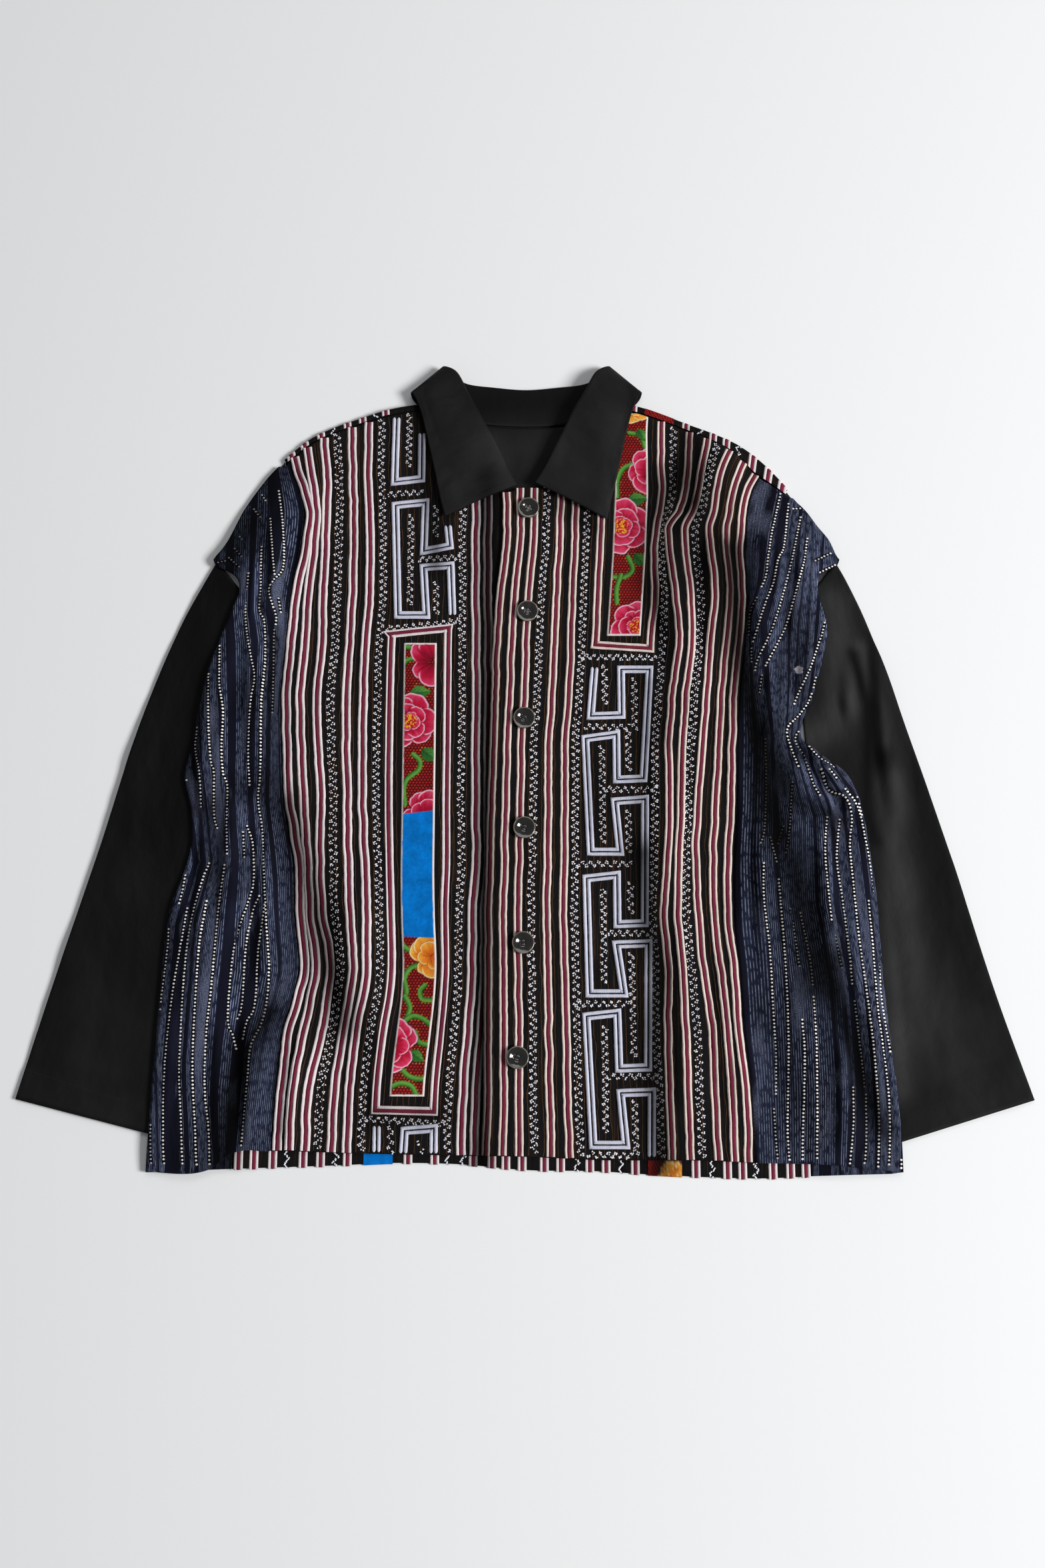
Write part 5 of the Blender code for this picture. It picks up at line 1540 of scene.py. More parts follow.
def disc_button(number, x, y, finish, thread):
    """A four-hole button with a rolled rim and a dished middle, sewn on with two bars of thread."""
    section = np.array(BUTTON_SECTION)
    radii = np.concatenate([np.linspace(0, DISC_RADIUS, DISC_RINGS), section[:, 0]])
    high = np.concatenate([np.full(DISC_RINGS, DISC_HEIGHT), section[:, 1]])
    # The bright ring at the rim is a painted highlight.
    shades = np.interp(radii, *np.array(HORN_SHADES_AND_RIM_HIGHLIGHT).T)
    shades[-UNDERSIDE_RINGS:] = UNDERSIDE_SHADE
    angle = np.linspace(0, 2 * math.pi, BUTTON_SIDES, endpoint=False)
    px = radii[:, None] * np.cos(angle)
    py = radii[:, None] * np.sin(angle)
    pz = np.broadcast_to(high[:, None], px.shape).copy()
    turns = math.radians(BUTTON_TURNS[number - 1]) + math.pi / 2 * np.arange(4)
    holes = HOLE_CIRCLE * np.column_stack([np.cos(turns), np.sin(turns)])
    for hole_x, hole_y in holes:
        away = np.hypot(px - hole_x, py - hole_y)
        pz[:DISC_RINGS] -= HOLE_DEPTH * smooth_step((HOLE_RADIUS - away) / HOLE_WALL)[:DISC_RINGS]
    reach = np.array([0.0, 0.5, 1.0])[:, None] * BUTTON_RADIUS
    around = np.linspace(0, 2 * math.pi, 25)
    ground = top_of_front("left", x + reach * np.cos(around), y + reach * np.sin(around))
    base = float(ground.max()) + BUTTON_GAP
    points = stack(x + px, y + py, base + pz).reshape(-1, 3)
    faces = grid_faces(len(radii), BUTTON_SIDES, wrap=True)
    uv = points[:, :2] + 37.0 * number
    colours = np.repeat(shades, BUTTON_SIDES)[:, None] * HORN_COLOUR
    name = f"button_face_{number}"
    made = make(name, points, [faces], finish, uv=uv, colours=colours)
    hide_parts(f"button_{number}")
    heap = Heap()
    t = np.linspace(0, 1, 9)[:, None]
    drop = 1.0 - np.clip(4 * t * (1 - t) * 2.2, 0, 1)
    for start, stop in (holes[:2], holes[2:]):
        path = np.array([x, y]) + start + (stop - start) * t
        for shift in (-THREAD_SPACING, 0.0, THREAD_SPACING):
            cord(heap, np.hstack([path, base + THREAD_RISE - THREAD_DROP * drop]), shift, THREAD_RADIUS)
    heap.make(f"button_thread_{number}", thread)


def cord(heap, path, shift, radius):
    """A thin thread along points in space, moved sideways in plan."""
    step = unit(np.gradient(path, axis=0))
    side = unit(np.cross(step, [0.0, 0.0, 1.0]), 1e-6)
    up = np.cross(side, step)
    rings = []
    for turn in 2 * math.pi * np.arange(CORD_SIDES) / CORD_SIDES:
        rings.append(path + side * (shift + radius * math.cos(turn)) + up * radius * math.sin(turn))
    faces = grid_faces(len(path), CORD_SIDES, wrap=True)[:, [0, 3, 2, 1]]
    around = np.arange(CORD_SIDES)[None, :]
    ends = [around[:, ::-1], (len(path) - 1) * CORD_SIDES + around]
    heap.add(np.stack(rings, axis=1), [faces] + ends)


# ---- looks: strips on the fronts ----


KEY_SPACING = 1.2  # spacing of the points along a key pattern
# The two strips of a key pattern: how far each lies to its side, and its width and height.
KEY_OFFSET, KEY_WIDTH, KEY_HEIGHT = 2.1, 3.1, 1.2


def key_path(points, spacing):
    """A key pattern's middle line in even steps that keep its corners."""
    found = []
    for (x0, y0), (x1, y1) in zip(points, points[1:]):
        parts = max(1, round(math.hypot(x1 - x0, y1 - y0) / spacing))
        for step in range(parts):
            found.append((x0 + (x1 - x0) * step / parts, y0 + (y1 - y0) * step / parts))
    found.append(points[-1])
    return np.array(found, float)


def dressed_key(name, side, points, finish):
    """Two white strips side by side that follow the key pattern."""

    def surface(x, y):
        return front_surface(side)(x, y) + 0.3

    heap = Heap()
    path = key_path(points, KEY_SPACING)
    for offset in (-KEY_OFFSET, KEY_OFFSET):
        seed = len(points) + offset
        tape(heap, path, offset, KEY_WIDTH, KEY_HEIGHT, surface, 0.07, seed, round_ends=True)
    made = heap.make(name + "_cloth", finish, slot="white_strip")
    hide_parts(name)


PRINT_SPACING = 0.65  # spacing of the points of a printed strip


def print_plan(side, high, low, half_width):
    """Plan places of a printed strip, and how far each is from its middle line."""
    rows = round((high - low) / PRINT_SPACING)
    y = np.linspace(high, low, rows)[:, None]
    middle = guide(side, "print", y)
    if side == "left":
        y = np.minimum(y, front_top(middle, side) - 2.0)
        middle = guide(side, "print", y)
    columns = round(2 * half_width / PRINT_SPACING) + 1
    offsets = np.linspace(-half_width, half_width, columns)[None, :]
    x = middle + offsets
    y = np.broadcast_to(y, x.shape).copy()
    return x, np.minimum(y, front_top(x, side) - 1.0), offsets


def dressed_print(name, side, high, low, half_width, finish):
    """A printed strip with its edges turned down."""
    x, y, offsets = print_plan(side, high, low, half_width)
    under = front_surface(side)(x, y) + 0.1
    edge = np.minimum(half_width - np.abs(offsets), 1.6)
    over = under + 0.35 + 0.6 * smooth_step(edge / 1.2) + 0.22 * noise(x / 9, y / 13, 91)
    colours = print_colours(side, x, y, offsets, half_width)
    rows, columns = x.shape
    count = rows * columns
    # The strip's edges turn down to the cloth that it lies on, and take a painted shade: 0.7 of the colour
    # above.
    down, across = np.arange(rows) * columns, np.arange(columns)
    edges = (across[::-1], down[-1] + across, down, down[::-1] + columns - 1)
    points = [stack(x, y, over).reshape(-1, 3)]
    shades = [colours.reshape(-1, 3)]
    faces = [grid_faces(rows, columns)[:, ::-1]]
    for line in edges:
        turned = points[0][line].copy()
        turned[:, 2] = under.ravel()[line]
        k = np.arange(len(line) - 1)
        faces.append(np.stack([line[:-1], line[1:], count + k + 1, count + k], axis=1))
        points.append(turned)
        # Painted shade on the turned edges.
        shades.append(shades[0][line] * 0.7)
        count += len(line)
    points, shades = np.concatenate(points), np.concatenate(shades)
    uv = points[:, :2]
    made = make(name + "_cloth", points, faces, finish, uv=uv, colours=shades)
    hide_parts(name)


# ---- looks: the printed strips ----

PINK = ((0.13, 0.002, 0.010), (0.46, 0.008, 0.040), (0.72, 0.070, 0.17), (0.84, 0.56, 0.68))
YELLOW = ((0.55, 0.06, 0.008), (0.78, 0.24, 0.02), (0.84, 0.50, 0.08), (0.84, 0.74, 0.44))
GREEN_DARK, GREEN_LIGHT = (0.010, 0.060, 0.014), (0.13, 0.34, 0.055)
BLUE_PATCH = (-57.0, -170.0)  # the plain blue piece in the right strip, from y to y
BLUE = (0.0005, 0.185, 0.62)
EDGING = (0.68, 0.62, 0.60)  # the white cloth round each strip
SCALE_PITCH, SCALE_RISE = 2.9, 2.5  # from scale to scale, across and up
SCALE_RED, SCALE_ORANGE, SCALE_GAP = (0.36, 0.020, 0.016), (0.68, 0.16, 0.02), (0.020, 0.001, 0.002)
# Rings of petals, from the outside in: number, place and length by share of the bloom's radius.
PETAL_RINGS = ((6, 0.60, 0.86), (5, 0.36, 0.66), (4, 0.18, 0.42))
FAR = 1e3  # farther than any distance in a print

# Each bloom: x, y, radius, turn, rings of petals, colours.
RIGHT_BLOOMS = (
    (-84, 84, 23, 150, 1, PINK), (-106, 27, 25, 66, 3, PINK), (-90, -60, 22, 120, 2, PINK),
    (-83, -186, 19, 170, 2, YELLOW), (-117, -264, 23, 20, 2, PINK),
)
LEFT_BLOOMS = (
    (101, 336, 20, 250, 2, YELLOW), (116, 269, 22, 190, 2, PINK),
    (88, 214, 27, 20, 3, PINK), (101, 117, 24, 80, 3, PINK),
)
# Each leaf: x, y, length, turn in degrees.
RIGHT_LEAVES = ((-96, 54, 19, 6), (-87, -5, 18, -38), (-95, -274, 15, -35))
LEFT_LEAVES = ((104, 241, 18, 5), (105, 181, 16, -50), (108, 304, 13, -60))
# Each vine: points that it runs through.
RIGHT_VINES = (
    ((-114, 96), (-108, 97), (-100, 95)),
    ((-114, 78), (-109, 84), (-102, 86), (-94, 85)),
    ((-102, -4), (-96, -10), (-97, -18), (-103, -23), (-108, -28), (-110, -36), (-109, -50)),
    ((-110, -176), (-103, -181), (-96, -178), (-93, -173)),
    ((-82, -195), (-93, -194), (-102, -197), (-107, -206), (-105, -216), (-106, -224)),
    ((-84, -225), (-91, -224), (-93, -217), (-89, -212)),
    ((-106, -222), (-102, -230), (-103, -237), (-107, -245)),
    ((-107, -244), (-99, -239), (-91, -241), (-84, -246)),
    ((-97, -253), (-94, -261), (-86, -264)),
    ((-110, -283), (-103, -290), (-95, -293), (-87, -293)),
    ((-117, -300), (-109, -297), (-100, -299), (-95, -307)),
)
LEFT_VINES = (
    ((85, 244), (85, 258), (91, 271), (103, 276)),
    ((97, 306), (107, 303), (111, 292)),
    ((94, 184), (98, 172), (91, 165), (81, 165)),
    ((87, 166), (83, 153), (83, 140)),
)


class Paint:
    """Colours on a grid of places, laid over each other."""

    def __init__(self, x, y):
        self.x, self.y = x, y
        self.shades = np.zeros(x.shape + (3,))
        self.near = np.full(x.shape, FAR)  # distance to the nearest vine or leaf

    def lay(self, mask, colour):
        self.shades += (np.asarray(colour) - self.shades) * np.clip(mask, 0, 1)[..., None]

    def ramp(self, mask, at, colours):
        places = np.linspace(0, 1, len(colours))
        found = [np.interp(at, places, [c[k] for c in colours]) for k in range(3)]
        self.lay(mask, np.stack(found, axis=-1))

    def scales(self):
        """The ground: rows of red scales, orange beside the vines and leaves."""
        best = np.full(self.x.shape, FAR)
        for half in (0, 1):
            row = np.round((self.y / SCALE_RISE - half) / 2) * 2 + half
            cell_y = row * SCALE_RISE
            cell_x = (np.round(self.x / SCALE_PITCH - half / 2) + half / 2) * SCALE_PITCH
            best = np.minimum(best, np.hypot(self.x - cell_x, self.y - cell_y))
        lit = smooth_step((1.42 - best) / 0.5)[..., None]
        red = np.array(SCALE_RED) * (0.55 + 0.6 * smooth_step((1.1 - best) / 1.0))[..., None]
        orange = (smooth_step((3.7 - self.near) / 0.4) * smooth_step((0.9 - best) / 0.4))[..., None]
        self.shades = SCALE_GAP + lit * (red * (1 - orange) + np.array(SCALE_ORANGE) * orange)

    def far_from(self, points):
        """Distance to a line through points, and how far to its left."""
        best = np.full(self.x.shape, FAR)
        side = np.zeros(self.x.shape)
        for (x0, y0), (x1, y1) in zip(points, points[1:]):
            run = math.hypot(x1 - x0, y1 - y0)
            ux, uy = (x1 - x0) / run, (y1 - y0) / run
            t = np.clip((self.x - x0) * ux + (self.y - y0) * uy, 0, run)
            away = np.hypot(self.x - x0 - t * ux, self.y - y0 - t * uy)
            cross = (self.y - y0) * ux - (self.x - x0) * uy
            side = np.where(away < best, cross, side)
            best = np.minimum(best, away)
        return best, side

    def vine(self, points):
        away, side = self.far_from(rounded(points))
        self.lay(smooth_step((2.9 - away) / 0.4) * 0.7, (0.012, 0.004, 0.002))
        greens = (GREEN_DARK, (0.06, 0.22, 0.03), GREEN_LIGHT, (0.06, 0.20, 0.03))
        self.ramp(smooth_step((2.4 - away) / 0.4), np.clip(0.5 + side / 4.6, 0, 1), greens)

    def turned(self, x, y, degrees):
        turn = math.radians(degrees)
        dx, dy = self.x - x, self.y - y
        return dx * math.cos(turn) + dy * math.sin(turn), dy * math.cos(turn) - dx * math.sin(turn)

    def leaf_shape(self, x, y, length, degrees):
        along, across = self.turned(x, y, degrees)
        t = np.clip(along / length + 0.5, 0, 1)
        half = length * (0.36 * np.sin(math.pi * t ** 0.75) + 0.02 * np.sin(t * 22))
        return along, across, t, np.maximum(np.abs(across) - half, np.abs(along) - length / 2)

    def leaf(self, x, y, length, degrees):
        along, across, t, out = self.leaf_shape(x, y, length, degrees)
        ribs = np.abs(across) - (along % 4.2) * 0.8
        vein = np.exp(-((across / 0.45) ** 2)) + 0.6 * np.exp(-((ribs / 0.45) ** 2))
        at = np.clip(0.30 + 0.5 * t + 0.16 * np.sign(across) - 0.35 * vein, 0, 1)
        self.lay(smooth_step((0.9 - out) / 0.5) * 0.7, (0.006, 0.010, 0.004))
        self.ramp(smooth_step(-out / 0.5), at, (GREEN_DARK, (0.035, 0.15, 0.03), GREEN_LIGHT))

    def petal(self, x, y, long, wide, degrees, colours, seed):
        along, across = self.turned(x, y, degrees)
        angle = np.arctan2(across, along)
        ripple = 1 + 0.09 * noise(angle * 1.5, seed, 5) + 0.03 * noise(angle * 4.0, seed, 15)
        away = np.hypot(along / (long / 2), across / (wide / 2)) / ripple
        tip = np.clip(0.5 + along / long, 0, 1)
        streak = 0.09 * noise(np.arctan2(across, along + long * 0.6) * 8, seed + 3, 6)
        at = np.clip(0.08 + 0.50 * tip ** 1.2 + streak, 0, 0.62)
        at = at + (1 - at) * smooth_step((away - 0.80) / 0.16) * smooth_step((tip - 0.30) / 0.3)
        self.lay(smooth_step((1.07 - away) / 0.05) * 0.5, np.array(colours[0]) * 0.4)
        self.ramp(smooth_step((1.0 - away) / 0.05), at, colours)

    def bloom(self, x, y, radius, turn, rings, colours):
        """Broad outer petals, then smaller ones on them, and a heart of yellow specks in the fullest."""
        for ring, (count, out, long) in enumerate(PETAL_RINGS[:rings]):
            for k in range(count):
                degrees = turn + 360 / count * (k + 0.5 * ring) + 14 * math.sin(3.1 * k + x)
                angle = math.radians(degrees)
                size = radius * long * (1 + 0.12 * math.sin(2.3 * k + ring + y))
                px, py = x + radius * out * math.cos(angle), y + radius * out * math.sin(angle)
                self.petal(px, py, size, size * 1.12, degrees, colours, 3.7 * k + ring + x)
        if rings == len(PETAL_RINGS):
            away = np.hypot(self.x - x, self.y - y)
            specks = smooth_step((noise(self.x / 1.1, self.y / 1.1, 8) - 0.10) / 0.25)
            self.lay(smooth_step((radius * 0.26 - away) / 1.5) * 0.8, (0.45, 0.012, 0.02))
            self.lay(smooth_step((radius * 0.30 - away) / 1.5) * specks, (0.82, 0.36, 0.03))


def rounded(points, steps=5):
    """A smooth line through points, with steps from each to the next."""
    p = np.array(points, float)
    p = np.concatenate([[2 * p[0] - p[1]], p, [2 * p[-1] - p[-2]]])
    found = []
    for k in range(1, len(p) - 2):
        for t in np.linspace(0, 1, steps, endpoint=False):
            found.append(
                0.5 * (2 * p[k] + (p[k + 1] - p[k - 1]) * t
                       + (2 * p[k - 1] - 5 * p[k] + 4 * p[k + 1] - p[k + 2]) * t * t
                       + (3 * p[k] - p[k - 1] - 3 * p[k + 1] + p[k + 2]) * t ** 3)
            )
    found.append(p[-2])
    return [tuple(point) for point in found]


def print_colours(side, x, y, offsets, half_width):
    """Colours of a printed strip: its ground, vines, leaves and flowers, with a white edging."""
    blooms, leaves, vines = RIGHT_BLOOMS, RIGHT_LEAVES, RIGHT_VINES
    if side == "left":
        blooms, leaves, vines = LEFT_BLOOMS, LEFT_LEAVES, LEFT_VINES
    paint = Paint(x, y)
    for points in vines:
        paint.near = np.minimum(paint.near, paint.far_from(rounded(points))[0])
    for row in leaves:
        paint.near = np.minimum(paint.near, paint.leaf_shape(*row)[3] + 1.6)
    paint.scales()
    for points in vines:
        paint.vine(points)
    for row in leaves:
        paint.leaf(*row)
    for row in blooms:
        paint.bloom(*row)
    if side == "right":
        high, low = BLUE_PATCH
        across = x + 98  # both ends of the patch are a little slanted
        patch = smooth_step((high + 0.12 * across - y) / 0.8) * smooth_step((y - low + 0.06 * across) / 0.8)
        spots = 0.94 + 0.10 * noise(x / 2.2, y / 2.2, 7) + 0.16 * noise(x / 9, y / 6, 9)
        paint.lay(patch, np.array(BLUE) * spots[..., None])
    worn = 0.93 + 0.07 * noise(x / 1.5, y / 1.5, 17)
    paint.shades *= worn[..., None]
    ends = np.minimum(y.max() - y, y - y.min())
    edge = np.minimum(half_width - np.abs(offsets), np.where(y > 200, 9.0, ends))
    ragged = 1.6 + 0.22 * noise(x / 2, y / 5, 18)
    paint.lay(smooth_step((ragged - edge) / 0.35), EDGING)
    return paint.shades


# ---- looks: bands, stitching and dots ----

STEP = 2.6  # spacing of the points along a band
TAPES = {
    # offset, width, height, colour of the three tapes of a band
    "right": ((-2.9, 2.7, 0.85, "cream"), (0.0, 3.1, 0.72, "maroon"), (2.9, 2.7, 0.85, "cream")),
    "left": ((-2.65, 2.35, 0.84, "cream"), (0.0, 2.95, 0.72, "maroon"), (2.65, 2.35, 0.84, "cream")),
}
# Zigzag rows of small stitches between two guides: share of the way, width.
RIGHT_ZIGZAGS = (
    ("band_3", "band_5", 0.30, 8.0), ("band_5", "print", 0.25, 7.0), ("print", "band_7", 0.75, 7.0),
)
LEFT_ZIGZAGS = (
    ("edge", "band_5", 0.60, 7.0), ("band_5", "print", 0.21, 7.0),
    ("frame", "band_7", 0.45, 7.0), ("band_7", "band_9", 0.66, 7.5),
)
# Short zigzags round the key patterns.
RIGHT_KEY_ROWS = (
    ((-110, 334), (-110, 272)), ((-107, 226), (-107, 137)), ((-84, 235), (-84, 203)),
    ((-83, 160), (-83, 128)), ((-117, -333), (-117, -358)), ((-92, -345), (-91, -358)),
    ((-131, 246), (-95, 248)), ((-100, 182), (-60, 184)), ((-129, 115), (-98, 118), (-60, 123)),
    ((-139, -327), (-70, -331)),
)
LEFT_KEY_ROWS = (
    ((71, 80), (71, 42)), ((98, 68), (98, 18)), ((92, 20), (92, -20)), ((68, 4), (68, -86)),
    ((91, -55), (91, -95)), ((92, -120), (92, -150)), ((68, -125), (68, -211)),
    ((92, -183), (93, -275)), ((68, -247), (68, -340)), ((93, -311), (94, -358)), ((50, 88), (120, 87)),
    ((52, 22), (95, 22)), ((70, -36), (118, -36)), ((45, -104), (95, -104)), ((70, -166), (112, -166)),
    ((42, -228), (90, -228)), ((70, -291), (115, -291)), ((52, -357), (92, -358)),
)
# The band round the right printed strip: its upper corners, and the Y of its lower ones.
FRAME_TOP_SEAM, FRAME_TOP_EDGE = (-125.5, 110.0), (-71.0, 116.0)
FRAME_LOW_SEAM, FRAME_LOW_EDGE = -320.0, -321.0
FRAME_LEFT_LOW = 97.5  # the Y at which the band round the left one turns
ABOVE_TOP, BELOW_HEM = 400.0, -400.0  # Y past both ends of a front
BAND_ROUGHNESS = 0.11
KEY_ROW_WIDTH = 6.0
COUCHING_SPACING, COUCHING_WIDTH, COUCHING_HEIGHT, COUCHING_ROUGHNESS = 5.5, 0.62, 0.26, 0.4


def down_line(side, line, low=BELOW_HEM, spacing=STEP, inset=0.3):
    """A plan path down a front along a guide line, from its upper edge to its hem or to a Y."""
    levels = np.linspace(350, -390, 1481)
    x = line(levels)
    top = front_top(x, side) - inset
    hem = np.maximum(curve(FRONT_HEM, 1, x) + inset, low)
    inside = (levels <= top) & (levels >= hem)
    y0, y1 = levels[inside][0], levels[inside][-1]
    y = np.linspace(y0, y1, max(3, int((y0 - y1) / spacing)))
    x = line(y)
    return np.column_stack([x + 0.55 * noise(x / 21, y / 17, 33) + 0.22 * noise(x / 9, y / 6, 34), y])


def between(side, first, second, share):
    """A line part of the way from one guide to another: X of Y."""
    return lambda y: guide(side, first, y) * (1 - share) + guide(side, second, y) * share


def straight(start, stop, count):
    """Points between two others, without them."""
    return np.linspace(start, stop, count)[1:-1]


def run_of(line, levels):
    """Plan points of a line, X of Y, at these levels."""
    return np.column_stack([line(levels), levels])


def lay_band(heaps, side, path, surface, seed, closed=False, outer_thin=False):
    """The three tapes of one band, side by side along a plan path."""
    for number, (offset, width, height, colour) in enumerate(TAPES[side]):
        if outer_thin and number == 0:
            offset, width = offset + 0.5, width - 1.0
        rough = BAND_ROUGHNESS
        tape(heaps[colour], path, offset, width, height, surface, rough, seed + number, closed=closed)


def bands_of_front(side, cream, maroon):
    """All bands of a front, and the one that frames its printed strip."""
    heaps = {"cream": Heap(), "maroon": Heap()}
    surface = front_surface(side)
    for seed, (line, high, low) in enumerate(band_lines(side)):
        if high < ABOVE_TOP or low > BELOW_HEM:
            continue  # the bands of a frame turn its corners
        lay_band(heaps, side, down_line(side, line), surface, 3 * seed)
    if side == "right":
        by_seam, by_edge = between(side, "band_5", "print", 0.46), between(side, "print", "band_7", 0.5)
        low_seam = (float(by_seam(FRAME_LOW_SEAM)), FRAME_LOW_SEAM)
        low_edge = (float(by_edge(FRAME_LOW_EDGE)), FRAME_LOW_EDGE)
        path = np.concatenate([
            [FRAME_TOP_SEAM], run_of(by_seam, straight(FRAME_TOP_SEAM[1], FRAME_LOW_SEAM, 215)),
            [low_seam], straight(low_seam, low_edge, 26),
            [low_edge], run_of(by_edge, straight(FRAME_LOW_EDGE, FRAME_TOP_EDGE[1], 215)),
            [FRAME_TOP_EDGE], straight(FRAME_TOP_EDGE, FRAME_TOP_SEAM, 28), [FRAME_TOP_SEAM],
        ])
        lay_band(heaps, side, path, surface, 50, closed=True, outer_thin=True)
    else:
        inner = between(side, "band_5", "print", 0.465)
        outer = between(side, "frame", "frame", 0.0)
        low = FRAME_LEFT_LOW
        left, right = down_line(side, inner, low=low + 2), down_line(side, outer, low=low + 1)
        across = np.linspace((float(inner(low)), low + 2.0), (float(outer(low)), low - 1.5), 27)
        path = np.concatenate([left[:-1], across, right[::-1][1:]])
        lay_band(heaps, side, path, surface, 60)
    heaps["cream"].make("bands_pale_" + side, cream, slot="striped_cotton")
    heaps["maroon"].make("bands_maroon_" + side, maroon, slot="striped_cotton")


def stitches_of_front(side, finish):
    """A front's zigzags between its bands and round its key patterns."""
    heap = Heap()
    surface = front_surface(side)
    rows = LEFT_ZIGZAGS if side == "left" else RIGHT_ZIGZAGS
    for seed, (first, second, share, width) in enumerate(rows):
        path = down_line(side, between(side, first, second, share), inset=1.5)
        stitches(heap, path, width, surface, seed + 1)
    rows = LEFT_KEY_ROWS if side == "left" else RIGHT_KEY_ROWS
    for seed, points in enumerate(rows):
        path = key_path(points, 2.0)
        path = path[path[:, 1] < front_top(path[:, 0], side) - 1.5]
        if len(path) > 3:
            stitches(heap, path, KEY_ROW_WIDTH, surface, seed + 20)
    heap.make("stitches_" + side, finish, slot="striped_cotton")


def hairlines_of_front(side, finish):
    """Fine brown couched threads in the black gaps between the bands."""
    heap = Heap()
    surface = front_surface(side)
    seed = 0
    for first, second in zip(ACROSS[side], ACROSS[side][1:]):
        wide = abs(float(guide(side, second, 0.0) - guide(side, first, 0.0)))
        count = max(1, round(wide / COUCHING_SPACING))
        for k in range(count):
            seed += 1
            if side == "right" and first == "band_7" and k > 1:
                continue  # these would lie under the left front
            line = between(side, first, second, (k + 0.5) / count)
            path = down_line(side, line, spacing=4.4, inset=1.0)
            y = path[:, 1]
            path[:, 0] += 0.8 * noise(y / 14, seed * 1.7, 31) + 0.35 * noise(y / 4, seed, 32)
            size = COUCHING_WIDTH, COUCHING_HEIGHT
            tape(heap, path, 0.0, *size, surface, COUCHING_ROUGHNESS, seed, profile=CORDED)
    heap.make("couching_" + side, finish, slot="striped_cotton")


# Dotted warp lines of the indigo sides: strength, then the points each runs through.
# A row's strength dims its dots for wear, and as painted shade where the row runs into a fold.
RIGHT_DOTS = (
    (1.0, (-231, 250), (-225, 206), (-224, 172), (-232, 158), (-236, 148), (-229, 126), (-229, 116)),
    (0.35, (-230, 112), (-230, 70), (-230, 34)),
    (0.95, (-238, 222), (-233, 180), (-231, 164)),
    (0.8, (-227, 142), (-224, 126)),
    (1.0, (-245, 194), (-244, 150), (-244, 130), (-239, 118), (-237, 84), (-239, 44), (-239, -20),
     (-240, -46), (-235, -76), (-231, -122), (-228, -160), (-225, -200), (-229, -240), (-238, -264),
     (-240, -286), (-243, -330), (-245, -352)),
    (1.0, (-256, 168), (-257, 124), (-250, 86), (-246, 66), (-249, 40), (-250, -6), (-248, -34)),
    (1.0, (-280, 98), (-278, 60), (-274, 36), (-274, 0), (-272, -22), (-268, -34), (-267, -64),
     (-265, -98)),
    (0.9, (-289, 74), (-286, 20), (-283, -12), (-280, -22), (-279, -58), (-275, -74)),
    (0.9, (-297, 24), (-298, 0), (-293, -22), (-291, -54)),
    (0.8, (-306, -18), (-304, -40), (-299, -56)),
    (1.0, (-249, -70), (-243, -88), (-241, -120), (-246, -142), (-253, -164), (-258, -190),
     (-260, -240), (-255, -256), (-251, -270)),
    (0.8, (-252, -76), (-250, -102)),
    (0.9, (-235, -134), (-241, -148), (-246, -180), (-248, -228), (-252, -243)),
    (0.9, (-230, -142), (-235, -184), (-237, -230), (-243, -244), (-246, -260)),
    (1.0, (-267, -106), (-272, -152), (-275, -210), (-278, -262), (-277, -306), (-273, -334),
     (-271, -366)),
    (1.0, (-281, -104), (-288, -126), (-295, -158), (-299, -206), (-300, -280), (-298, -312),
     (-294, -366)),
    (1.0, (-282, -138), (-287, -190), (-288, -280), (-284, -342), (-282, -366)),
    (1.0, (-302, -98), (-303, -120), (-307, -142)),
    (0.9, (-299, -144), (-303, -176), (-309, -222), (-313, -280), (-312, -340), (-310, -367)),
    (0.5, (-317, -140), (-315, -172), (-319, -226), (-323, -300), (-323, -340), (-321, -367)),
    (0.7, (-247, 246), (-243, 240)),
    (0.6, (-254, 232), (-247, 223)),
    (0.6, (-266, 204), (-258, 195)),
    (0.6, (-270, 192), (-263, 184)),
    (0.6, (-275, 183), (-264, 173)),
    (0.4, (-285, 178), (-276, 180)),
)
